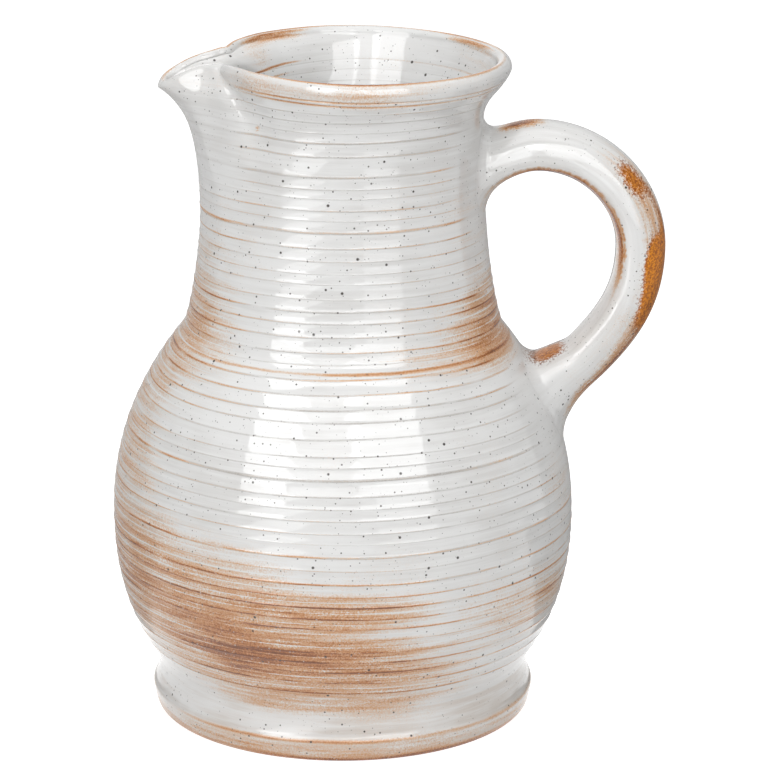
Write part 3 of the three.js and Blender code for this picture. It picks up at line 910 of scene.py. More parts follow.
@dataclass(frozen=True)
class BodyOutline:
    """The outside of the thrown body, from the foot's arris to the rim's roll: a radius at each height."""

    arris_radius: float = 69.7
    arris_height: float = 7.9
    cove: float = 5.0
    foot_top: float = 18.0
    waist_radius: float = 67.2
    waist_height: float = 19.0
    waist_pull: tuple[float, float] = (11.4, 17.4)
    waist_fill: float = 4.2
    belly_radius: float = 83.2
    belly_height: float = 74.0
    lower_pull: float = 24.0
    upper_pull: float = 28.0
    shoulder_radius: float = 56.6
    shoulder_height: float = 143.0
    shoulder_pull: tuple[float, float] = (15.4, -18.6)
    shoulder_fill: float = 1.8
    slip: float = 1.0
    neck_radius: float = 49.6
    neck_spread: tuple[float, float] = (-4.3, 14.0)
    neck_straight: float = 33.0
    throat_height: float = 218.0
    flare_start: float = 8.5
    flare_end: tuple[float, float] = (-2.0, -6.5)
    rim_radius: float = 59.3
    rim_height: float = 240.0
    roll_height: float = 3.6
    fill_reach: float = 2.5
    table_step: float = 0.1
    curve_points: int = 160

    @property
    def foot_joint(self) -> float:
        """Height where the foot ring's glaze meets the belly's."""
        return (self.foot_top + self.waist_height) / 2

    @property
    def shoulder_joint(self) -> float:
        """Height where the belly's glaze meets the neck's."""
        return self.shoulder_height + self.slip / 2

    @cached_property
    def table(self) -> Array:
        """Heights and radii at even steps, with glaze in the creases at the waist and the shoulder."""
        arris = (self.arris_radius, self.arris_height)
        waist = (self.waist_radius, self.waist_height)
        belly = (self.belly_radius, self.belly_height)
        shoulder = (self.shoulder_radius, self.shoulder_height)
        collar = (self.shoulder_radius, self.shoulder_height + self.slip)
        throat = (self.neck_radius, self.throat_height)
        roll = (self.rim_radius, self.rim_height - self.roll_height)
        curves = [
            (arris, (arris[0] - self.cove / 2, arris[1] + self.cove / 2),
             (waist[0], self.foot_top - self.cove), (waist[0], self.foot_top)),
            (waist, (waist[0] + self.waist_pull[0], waist[1] + self.waist_pull[1]),
             (belly[0], belly[1] - self.lower_pull), belly),
            (belly, (belly[0], belly[1] + self.upper_pull),
             (shoulder[0] + self.shoulder_pull[0], shoulder[1] + self.shoulder_pull[1]), shoulder),
            (collar, (collar[0] + self.neck_spread[0], collar[1] + self.neck_spread[1]),
             (throat[0], throat[1] - self.neck_straight), throat),
            (throat, (throat[0], throat[1] + self.flare_start),
             (roll[0] + self.flare_end[0], roll[1] + self.flare_end[1]), roll),
        ]
        line = np.concatenate([bezier(points, self.curve_points) for points in curves])
        heights = np.arange(arris[1], roll[1] + self.table_step / 2, self.table_step)
        radii = np.interp(heights, line[:, 1], line[:, 0])
        for crease, fill in ((self.foot_joint, self.waist_fill), (self.shoulder_joint, self.shoulder_fill)):
            window = np.hanning(2 * round(2 * fill / self.table_step) + 1)
            padded = np.pad(radii, len(window) // 2, mode="edge")
            filled = np.convolve(padded, window / window.sum(), "valid")
            near = np.exp(-((heights - crease) / (self.fill_reach * fill)) ** 4)
            radii = radii + near * (filled - radii)
        return np.column_stack([heights, radii])

    def radius(self, height: Array | float) -> Array:
        """Radius of the outside at a height."""
        return np.interp(height, self.table[:, 0], self.table[:, 1])

    def slope(self, height: Array) -> Array:
        """How much the radius grows for each millimetre of height."""
        return (self.radius(height + 1) - self.radius(height - 1)) / 2

    def line(self, low: float, high: float, step: float) -> Array:
        """Part of the outside, as evenly spaced radii and heights.

        Args:
            low: where it starts.
            high: where it ends.
            step: the spacing along it.

        Returns:
            Radius and height in each row.
        """
        heights = np.linspace(low, high, max(3, round((high - low) / self.table_step)))
        return resampled(np.column_stack([self.radius(heights), heights]), step)

    def on_wall(self, height: Array, sideways: Array, lift: Array | float) -> Array:
        """Places points on or over the outside, on the side of the handle.

        Args:
            height: the points' heights on the wall.
            sideways: how far round the wall they lie, towards the back.
            lift: how far they stand off the wall.

        Returns:
            Places in millimetres.
        """
        radius = self.radius(height)
        tilt = np.arctan(-self.slope(height))
        angle = sideways / radius
        out = radius + lift * np.cos(tilt)
        return np.stack([out * np.cos(angle), out * np.sin(angle), height + lift * np.sin(tilt)], axis=-1)


# The stains that run on from piece to piece over the foot, the belly and the neck
BODY_STAINS = (
    Stain(258, 34, 42, 13, 0.43),
    Stain(222, 44, 46, 20, 0.4),
    Stain(254, 30, 43.7, 3.2, 0.34),
    Stain(264, 32, 37.8, 2.4, 0.28),
    Stain(260, 30, 33.5, 2.0, 0.16),
    Stain(273, 20, 61, 5, 0.36),
    Stain(262, 34, 24, 9, 0.4),
    Stain(184, 30, 98, 55, 0.42),
    Stain(222, 34, 70, 18, 0.26),
    Stain(236, 60, 62, 16, 0.16),
    Stain(330, 24, 52, 12, 0.36),
    Stain(300, 26, 30, 16, 0.16),
    Stain(196, 30, 148, 18, 0.32),
    Stain(338, 26, 148, 13, 0.36),
    Stain(350, 20, 153, 13, 0.34),
    Stain(314, 34, 141, 8, 0.26),
    Stain(350, 26, 88, 44, 0.16),
    Stain(190, 44, 176, 26, 0.16),
    Stain(334, 30, 184, 26, 0.2),
    Stain(264, 64, 236, 5, 0.29),
    Stain(229.4, 1.2, 220.2, 1.0, 0.45, 0),
    Stain(256, 60, 3, 5, 0.35),
    Stain(76, 150, 3, 5, 0.36),
    Stain(90, 50, 42, 16, 0.5),
    Stain(40, 30, 62, 16, 0.34),
    Stain(110, 44, 148, 14, 0.42),
    Stain(60, 40, 200, 20, 0.14),
)


@dataclass
class Belly:
    """The round lower body with its floor, the rebate for the foot ring and the spigot under the neck."""

    outline: BodyOutline
    base_radius: float = 60.3
    base_middle: float = 4.0
    chamfer: float = 1.0
    soft_edge: float = 0.4
    wall: float = 6.0
    floor: float = 9.0
    floor_radius: float = 38.0
    floor_pull: float = 20.0
    floor_middle: float = 2.0
    floor_rings: int = 13
    inner_pull: float = 30.0
    inner_points: int = 80
    inner_step: float = 2.6
    inner_rings: float = 0.6
    inner_rings_rise: tuple[float, float] = (4.0, 20.0)
    neck_wall: float = 4.8
    spigot_wall: float = 2.5
    spigot_height: float = 3.0
    columns: int = 200
    step: float = 0.36
    rings_rise: tuple[float, float] = (4.0, 10.0)
    lower_root: SmoothedRoot = SmoothedRoot(116.0, 38.0, 38.0)
    bare_below: float = 1.0
    bare_slant: float = 0.2
    top_lines: tuple[Stain, ...] = (
        Stain(318, 40, 139.2, 0.5, 0.6, 0),
        Stain(262, 50, 139.2, 0.45, 0.36, 0),
    )

    def section(self) -> tuple[Array, slice, slice]:
        """The closed half section, from under the middle, up the outside and back down the inside.

        Returns:
            Radius and height in each row, the rows of the outside and the rows of the inside.
        """
        outline = self.outline
        bore = outline.shoulder_radius - self.neck_wall
        spigot = bore + self.spigot_wall
        spigot_top = outline.shoulder_height + self.spigot_height
        widest = (outline.belly_radius - self.wall, outline.belly_height)
        under = softened([(self.base_middle, 0), (self.base_radius - self.chamfer, 0),
                          (self.base_radius, self.chamfer), (self.base_radius, outline.foot_joint)],
                         self.soft_edge)
        outside = outline.line(outline.foot_joint, outline.shoulder_joint, self.step)
        collar = np.array([(spigot, outline.shoulder_joint), (spigot, spigot_top), (bore, spigot_top)])
        upper = bezier([(bore, outline.shoulder_height),
                        (bore + outline.shoulder_pull[0],
                         outline.shoulder_height + outline.shoulder_pull[1]),
                        (widest[0], widest[1] + outline.upper_pull), widest], self.inner_points)
        lower = bezier([widest, (widest[0], widest[1] - self.inner_pull),
                        (self.floor_radius + self.floor_pull, self.floor), (self.floor_radius, self.floor)],
                       self.inner_points)
        inside = resampled(np.concatenate([upper, lower[1:]]), self.inner_step)
        inward = np.linspace(self.floor_radius, self.floor_middle, self.floor_rings + 1)[1:]
        floor = np.column_stack([inward, np.full(self.floor_rings, self.floor)])
        first, last = len(under), len(under) + len(outside)
        rows = np.concatenate([under, outside, collar, inside, floor])
        return rows, slice(first, last), slice(last + len(collar), None)

    def build(self, glaze: StonewareGlaze, clay: FiredSlip) -> Piece:
        """Builds the belly, glazes it and leaves its base bare.

        Args:
            glaze: the white glaze.
            clay: the bare clay of the base.

        Returns:
            The finished belly.
        """
        profile, outside_rows, inside_rows = self.section()
        rings = turned(profile, self.columns)
        height = rings[..., 2]
        outside, inside = (np.zeros((len(profile), 1)) for _ in range(2))
        outside[outside_rows] = 1.0
        inside[inside_rows] = 1.0
        joint = self.outline.foot_joint
        spread = smoothstep(height, *(joint + rise for rise in self.rings_rise))
        inner_spread = smoothstep(height, *(self.floor + rise for rise in self.inner_rings_rise))
        thrown = outside * spread * (1 - self.lower_root.weight(rings))
        thrown = thrown + self.inner_rings * inside * inner_spread
        rust = outside * stained(BODY_STAINS, compass(rings), height)
        edge = outside * stained(self.top_lines, compass(rings), height)
        made = skin("belly_thrown", rings, Ends.CAPPED,
                    {Paint.THROWN: thrown, Paint.RUST: rust, Paint.EDGE: edge})
        glaze.rings.raise_on(made, glaze.material)
        made.data.materials.append(clay.material)
        for face in made.data.polygons:
            if face.center.z < (joint - self.bare_below) * MM and face.normal.z < self.bare_slant:
                face.material_index = 1
        return settle(made, "belly")


@dataclass
class FootRing:
    """The stout ring under the belly: a tread, a small bevel, a leaning band, a soft arris and a cove."""

    outline: BodyOutline
    bore: float = 61.6
    bore_low: float = 4.0
    tread_radius: float = 67.4
    bevel_radius: float = 68.5
    bevel: float = 1.6
    soft_edge: float = 0.9
    soft_steps: int = 8
    cove_start: float = 1.2
    columns: int = 216
    step: float = 0.35
    outer_skin: float = 0.5
    arris_line: float = 0.55
    tread_line_height: float = 0.9
    tread_line: float = 1.0
    tread_line_edge: float = 1.0
    tread_line_strength: float = 0.62
    arris_breaks: tuple[Stain, ...] = (
        Stain(250, 26, 8, 9, 0.5, 0),
        Stain(300, 60, 8, 9, 0.24, 0),
        Stain(80, 110, 8, 9, 0.4, 0),
    )

    def build(self, glaze: StonewareGlaze) -> Piece:
        """Builds the ring and glazes it.

        Args:
            glaze: the foot's thin glaze.

        Returns:
            The finished ring.
        """
        outline = self.outline
        top = outline.foot_joint
        cove = outline.line(outline.arris_height + self.cove_start, top, self.step)
        under = softened([(self.bore, self.bore_low), (self.bore, 0.0), (self.tread_radius, 0.0),
                          (self.bevel_radius, self.bevel), (outline.arris_radius, outline.arris_height),
                          cove[0]], self.soft_edge, self.soft_steps)
        profile = np.concatenate([resampled(under, self.step), cove[1:], [(self.bore, top)]])
        rings = turned(profile, self.columns)
        height = rings[..., 2]
        radius = np.hypot(rings[..., 0], rings[..., 1])
        outside = radius > self.bore + self.outer_skin
        arris = np.exp(-((height - outline.arris_height) / self.arris_line) ** 2) * outside
        arris = arris * stained(self.arris_breaks, compass(rings), height)
        tread = np.exp(-((height - self.tread_line_height) / self.tread_line) ** 2)
        tread = tread * (radius > self.tread_radius - self.tread_line_edge)
        rust = stained(BODY_STAINS, compass(rings), height) * outside
        edge = np.maximum(arris, self.tread_line_strength * tread)
        made = skin("foot_ring_turned", rings, Ends.WRAPPED, {Paint.RUST: rust, Paint.EDGE: edge})
        glaze.rings.raise_on(made, glaze.material)
        return settle(made, "foot_ring")


@dataclass(frozen=True)
class NeckPlan:
    """The neck's columns all round, from the middle of the lip.

    Each has its angle on the round neck from the lip, in radians, its place on the rim's outline and its
    share in the lip.
    """

    angle: Array
    rim: Array
    share: Array

    @property
    def degrees(self) -> Array:
        """How far from the lip each column lies, to either side, in degrees."""
        return np.degrees(np.abs(self.angle))


@dataclass(frozen=True)
class NeckRows:
    """The rows of the neck's section: up the outside, over the crown, down the inside and round the seat.

    Each has its height, its radius, its depth in the lip's wall and its distance from the crown's top, which
    is negative on the outside.
    """

    height: Array
    radius: Array
    depth: Array
    from_crown: Array


@dataclass
class Neck:
    """The tall collar with its rolled rim and the lip pulled out of it.

    Heights are over the base. What is said to lie past the pinch or the throat is counted from there.
    """

    outline: BodyOutline
    # Walls, the rim and the seat on the belly's spigot
    wall: float = 4.8
    rim_wall: float = 5.4
    flare_low: float = 216.0
    flare_power: float = 1.15
    crown_radius: float = 56.6
    inner_roll: float = 2.4
    rim_tilt: float = 0.7
    recess_radius: float = 54.6
    recess_top: float = 146.3
    # The pulled lip, half of its outline seen from above
    lip_reach: float = 65.6
    lip_corner: tuple[float, float] = (64.4, 8.4)
    lip_side: tuple[float, float] = (58.4, 13.0)
    lip_root: tuple[float, float] = (49.5, 14.6)
    lip_pinch: tuple[float, float] = (43.4, 17.6)
    lip_shoulder: tuple[float, float] = (39.6, 26.6)
    corner_reach: float = 2.2
    lip_join_angle: float = 51.0
    lead_angle: float = 11.0
    # Where its outline and its share lie on the round neck, in degrees from the lip
    pinch_angle: float = 52.0
    join_angle: float = 66.0
    fade_angle: float = 60.0
    round_angle: float = 102.0
    # The lip's side view and its walls
    lip_height: float = 62.0
    lip_nose: float = 2.2
    lip_step: float = 1.3
    lip_droop: float = 8.6
    droop_power: float = 1.45
    swell_share: float = 0.43
    swell_power: float = 1.35
    turn_power: float = 5.0
    lip_wall: float = 3.6
    lip_thickening: float = 20.0
    lip_gutter: float = 4.0
    gutter_edge: float = 3.0
    gutter_fade: tuple[float, float] = (12.0, 40.0)
    gutter_front: float = 0.6
    gutter_turn: tuple[float, float] = (10.0, 42.0)
    # The hollow under the rim's band beside the lip, and the fold that runs down from the pinch
    band_recess: float = 1.5
    band_rise: tuple[float, float] = (200.0, 226.0)
    band_end: tuple[float, float] = (231.4, 233.6)
    band_lead: float = 2.0
    valley_depth: float = 1.2
    valley_width: float = 8.0
    valley_swing: float = 10.0
    valley_turn: tuple[float, float] = (220.0, 237.0)
    valley_rise: tuple[float, float] = (204.0, 220.0)
    valley_end: tuple[float, float] = (230.0, 237.0)
    # The fine grooves under the rim, and the rust in them, which is strongest in front
    groove_heights: tuple[float, float] = (233.7, 232.2)
    groove_width: float = 0.32
    groove_depth: float = 0.4
    groove_past_pinch: tuple[float, float] = (4.0, 20.0)
    groove_rust: tuple[float, float] = (0.12, 0.32)
    groove_rust_angle: float = 262.0
    groove_rust_power: float = 3.0
    # How finely it is divided
    columns: tuple[int, int, int, int] = (40, 18, 24, 36)
    step: float = 0.36
    band_low: float = 230.8
    band_step: float = 0.2
    crown_points: int = 15
    inner_line_span: tuple[float, float] = (223.0, 231.0)
    inner_steps: tuple[float, float, float] = (0.9, 0.25, 2.2)
    # Where the throwing rings were smoothed away
    rings_past_throat: tuple[float, float] = (10.0, 14.0)
    smooth_past_pinch: tuple[float, float] = (-9.0, 3.0)
    smooth_past_throat: tuple[float, float] = (-36.0, -12.0)
    smooth_share: float = 0.85
    inside_rings: float = 0.5
    upper_root: SmoothedRoot = SmoothedRoot(200.5, 34.0, 36.0)
    # Stains, and the worn line along the crown
    crown_line: float = 0.9
    inside_past_crown: float = 1.5
    inner_stains: tuple[Stain, ...] = (
        Stain(122, 16, 239, 1.9, 0.75),
        Stain(142, 16, 234, 6, 0.24),
        Stain(28, 16, 239.2, 1.6, 0.5),
        Stain(16, 22, 234, 6, 0.24),
        Stain(180, 8, 228, 5, 0.4),
    )
    inner_lines: tuple[Stain, ...] = (
        Stain(138, 22, 229.4, 0.35, 0.95, 0),
        Stain(20, 40, 229, 0.35, 0.3, 0),
        Stain(146, 22, 226, 0.35, 0.8, 0),
    )
    crown_breaks: tuple[Stain, ...] = (
        Stain(268, 26, 0, 9, 0.8, 0),
        Stain(306, 40, 0, 9, 0.32, 0),
        Stain(335, 18, 0, 9, 0.3, 0),
        Stain(234, 20, 0, 9, 0.26, 0),
        Stain(122, 24, 0, 9, 0.9, 0),
        Stain(30, 22, 0, 9, 0.7, 0),
        Stain(164, 16, 0, 9, 0.4, 0),
        Stain(80, 50, 0, 9, 0.35, 0),
    )

    def plan(self) -> NeckPlan:
        """Lays out the neck's columns, half of them along the lip's outline and back round the neck."""
        radius = self.outline.neck_radius
        join = math.radians(self.lip_join_angle)
        lead = join + math.radians(self.lead_angle)
        pinch_at = np.array(self.lip_pinch)
        ways = [np.array(knot) - pinch_at for knot in (self.lip_root, self.lip_shoulder)]
        before, after = (tuple(pinch_at + self.corner_reach * way / np.linalg.norm(way)) for way in ways)
        mirrored = [(x, -y) for x, y in (self.lip_side, self.lip_corner)]
        half = [(self.lip_reach, 0.0), self.lip_corner, self.lip_side, self.lip_root, before, self.lip_pinch,
                after, self.lip_shoulder]
        on_neck = [(radius * math.cos(angle), radius * math.sin(angle)) for angle in (join, lead)]
        tip_knot = len(mirrored)
        pinch_knot = tip_knot + half.index(self.lip_pinch)
        join_knot = tip_knot + len(half)
        lip, shoulder, fade, rest = self.columns
        along = np.concatenate([np.linspace(tip_knot, pinch_knot, lip, endpoint=False),
                                np.linspace(pinch_knot, join_knot, shoulder, endpoint=False)])
        pinch, joined, round_at = np.radians([self.pinch_angle, self.join_angle, self.round_angle])
        turn = np.concatenate([np.linspace(join, round_at, fade, endpoint=False),
                               np.linspace(round_at, math.pi, rest + 1)])
        rims = np.concatenate([through([*mirrored, *half, *on_neck], along),
                               radius * np.column_stack([np.cos(turn), np.sin(turn)])])
        angles = np.concatenate([np.linspace(0, pinch, lip, endpoint=False),
                                 np.linspace(pinch, joined, shoulder, endpoint=False),
                                 np.linspace(joined, round_at, fade, endpoint=False),
                                 np.linspace(round_at, math.pi, rest + 1)])
        shares = 1 - smoothstep(angles, math.radians(self.fade_angle), round_at)
        back = slice(-2, 0, -1)
        return NeckPlan(np.concatenate([angles, -angles[back]]),
                        np.concatenate([rims, rims[back] * (1, -1)]) * (-1, 1),
                        np.concatenate([shares, shares[back]]))

    def rows(self) -> NeckRows:
        """Lays out the section's rows."""
        outline = self.outline
        top, roll = outline.rim_height, outline.roll_height
        edge_radius = outline.rim_radius - self.rim_wall
        outer = np.concatenate([outline.line(outline.shoulder_joint, self.band_low, self.step),
                                outline.line(self.band_low, top - roll, self.band_step)[1:]])
        outer = np.column_stack([outer[:, 1], outer[:, 0], np.zeros(len(outer))])
        turn = np.linspace(0, math.pi / 2, self.crown_points)[1:]
        rolled = outline.rim_radius - self.crown_radius
        crown = np.column_stack([top - roll * (1 - np.sin(turn)), self.crown_radius + rolled * np.cos(turn),
                                 self.lip_wall / 2 * (1 - np.cos(turn))])
        inner_edge = np.column_stack([top - self.inner_roll * (1 - np.cos(turn)),
                                      self.crown_radius - (self.crown_radius - edge_radius) * np.sin(turn),
                                      self.lip_wall / 2 * (1 + np.sin(turn))])
        sunk = outline.shoulder_radius - self.recess_radius
        seat = np.array([(height, self.recess_radius, sunk)
                         for height in (self.recess_top, outline.shoulder_joint)])
        rows = np.concatenate([outer, crown, inner_edge, self.inner_rows(edge_radius), seat])
        run = np.concatenate([[0], np.cumsum(np.hypot(np.diff(rows[:, 0]), np.diff(rows[:, 1])))])
        return NeckRows(*rows.T, run - run[len(outer) + len(crown) - 1])

    def inner_rows(self, edge_radius: float) -> Array:
        """The rows down the inside, close together where fine lines run.

        Args:
            edge_radius: the inside's radius under the rim's inner edge.

        Returns:
            Height, radius and depth in the lip's wall in each row.
        """
        outline = self.outline
        top = outline.rim_height - self.inner_roll
        low, high = self.inner_line_span
        upper_step, line_step, lower_step = self.inner_steps
        deep = np.concatenate([np.arange(top - upper_step, high, -upper_step),
                               np.arange(high, low, -line_step),
                               np.arange(low, self.recess_top, -lower_step), [self.recess_top]])
        low_radius = float(outline.radius(self.flare_low)) - self.wall
        share = np.clip((deep - self.flare_low) / (top - self.flare_low), 0, 1)
        flared = low_radius + (edge_radius - low_radius) * share ** self.flare_power
        radius = np.where(deep > self.flare_low, flared, outline.radius(deep) - self.wall)
        thicker = smoothstep(top - deep, 0, self.lip_thickening)
        return np.column_stack([deep, radius, self.lip_wall + (self.wall - self.lip_wall) * thicker])

    def pull(self, height: Array) -> tuple[Array, Array]:
        """How far the lip is pulled out of the round neck.

        Args:
            height: the rows' heights.

        Returns:
            The share of the way up to the rim, and the share of the pull.
        """
        start = self.outline.rim_height - self.lip_height
        rise = np.clip((height - start) / (self.lip_height - self.lip_nose), 0, 1)
        swell = self.swell_share * rise ** self.swell_power
        return rise, swell + (1 - self.swell_share) * rise ** self.turn_power

    def grooves(self, rows: NeckRows, plan: NeckPlan) -> Array:
        """How far each point lies in a fine groove under the rim, from the fold round to the other side.

        Args:
            rows: the section's rows.
            plan: the columns.

        Returns:
            A share for each point.
        """
        groove = sum(np.exp(-((rows.height - g) / self.groove_width) ** 2) for g in self.groove_heights)
        groove = np.where(rows.from_crown < 0, groove, 0.0)
        past_fold = smoothstep(plan.degrees, *(self.pinch_angle + past for past in self.groove_past_pinch))
        return groove[:, None] * past_fold

    def hollows(self, rows: NeckRows, plan: NeckPlan, lip: Array, groove: Array) -> Array:
        """How deep each point is set back: under the band, in the fold, in the grooves and inside the lip.

        Args:
            rows: the section's rows.
            plan: the columns.
            lip: each point's share in the lip.
            groove: each point's share in a groove.

        Returns:
            Depths in millimetres.
        """
        height, outside = rows.height, rows.from_crown < 0
        past_pinch = smoothstep(np.abs(plan.angle), math.radians(self.pinch_angle - self.band_lead),
                                math.radians(self.join_angle))
        band = smoothstep(height, *self.band_rise) * (1 - smoothstep(height, *self.band_end)) * outside
        beside = self.band_recess * band[:, None] * lip * past_pinch
        middle = self.pinch_angle + self.valley_swing * (1 - smoothstep(height, *self.valley_turn))
        fold = np.exp(-((plan.degrees - middle[:, None]) / self.valley_width) ** 2)
        valley = smoothstep(height, *self.valley_rise) * (1 - smoothstep(height, *self.valley_end)) * outside
        under = np.maximum(self.outline.rim_height - self.inner_roll - height, 0) * (rows.from_crown > 0)
        filled = (1 - np.exp(-under / self.gutter_edge)) * (1 - smoothstep(under, *self.gutter_fade))
        gutter = self.lip_gutter * (self.gutter_front + smoothstep(plan.degrees, *self.gutter_turn))
        return (beside + self.valley_depth * valley[:, None] * fold + self.groove_depth * groove
                + filled[:, None] * gutter * lip)

    def droop(self, plan: NeckPlan) -> Array:
        """How far each column of the rim hangs below the round rim."""
        pinch_x, pinch_y = self.lip_pinch
        forward = np.clip((-plan.rim[:, 0] - pinch_x) / (self.lip_reach - pinch_x), 0, 1)
        hung = np.where(np.abs(plan.rim[:, 1]) > pinch_y, 0, self.lip_droop * forward ** self.droop_power)
        step = 1 - smoothstep(np.abs(plan.angle), math.radians(self.pinch_angle),
                              math.radians(self.join_angle))
        return hung + self.lip_step * step

    def build(self, glaze: StonewareGlaze) -> Piece:
        """Builds the neck with its lip and glazes it.

        Args:
            glaze: the white glaze.

        Returns:
            The finished neck.
        """
        outline = self.outline
        plan, rows = self.plan(), self.rows()
        plain = np.where(rows.height < outline.throat_height, outline.radius(rows.height),
                         outline.neck_radius)
        rise, pulled = self.pull(rows.height)
        circle = np.column_stack([-np.cos(plan.angle), np.sin(plan.angle)])
        shift = plan.rim - outline.neck_radius * circle
        wall = plain[:, None, None] * circle + pulled[:, None, None] * shift
        along = np.roll(wall, -1, axis=1) - np.roll(wall, 1, axis=1)
        along /= np.linalg.norm(along, axis=2, keepdims=True)
        outward = np.stack([-along[..., 1], along[..., 0]], axis=-1)
        lip = plan.share[None, :] * np.sqrt(rise)[:, None]
        groove = self.grooves(rows, plan)
        offset = ((rows.radius - plain)[:, None] * (1 - lip) - rows.depth[:, None] * lip
                  - self.hollows(rows, plan, lip, groove))
        place = wall + offset[..., None] * outward
        tilt = math.tan(math.radians(self.rim_tilt)) * place[..., 0] * rise[:, None]
        level = rows.height[:, None] - self.droop(plan)[None, :] * pulled[:, None] - tilt
        rings = np.concatenate([place, level[..., None]], axis=2)
        made = skin("neck_thrown", rings, Ends.WRAPPED, self.paints(rings, rows, plan, groove))
        glaze.rings.raise_on(made, glaze.material)
        return settle(made, "neck")

    def paints(self, rings: Array, rows: NeckRows, plan: NeckPlan, groove: Array) -> dict[Paint, Array]:
        """Where the neck shows throwing rings, stains and worn edges.

        Args:
            rings: the neck's places.
            rows: the section's rows.
            plan: the columns.
            groove: each point's share in a groove.

        Returns:
            The paints.
        """
        height = np.repeat(rows.height[:, None], rings.shape[1], axis=1)
        angle = compass(rings)
        inside = (rows.from_crown > self.inside_past_crown)[:, None]
        throat = self.outline.throat_height
        rings_end = smoothstep(height, *(throat + past for past in self.rings_past_throat))
        beside = smoothstep(plan.degrees, *(self.pinch_angle + past for past in self.smooth_past_pinch))
        pulled = smoothstep(height, *(throat + past for past in self.smooth_past_throat))
        thrown = (height >= self.outline.shoulder_joint) * (1 - rings_end)
        thrown = thrown * (1 - self.smooth_share * (1 - beside) * pulled)
        thrown = thrown * (1 - self.upper_root.weight(rings))
        thrown = np.where(inside, self.inside_rings * thrown, thrown)
        rust = np.where(inside, stained(self.inner_stains, angle, height),
                        stained(BODY_STAINS, angle, height))
        crown = np.exp(-(rows.from_crown / self.crown_line) ** 2)[:, None]
        crown = crown * stained(self.crown_breaks, angle, 0 * height)
        least, more = self.groove_rust
        facing = np.clip(np.cos(np.radians(angle - self.groove_rust_angle)), 0, 1) ** self.groove_rust_power
        under = groove * (least + more * facing)
        throat_lines = np.where(inside, stained(self.inner_lines, angle, height), 0.0)
        return {Paint.THROWN: thrown, Paint.RUST: rust, Paint.EDGE: np.maximum(crown + under, throat_lines)}


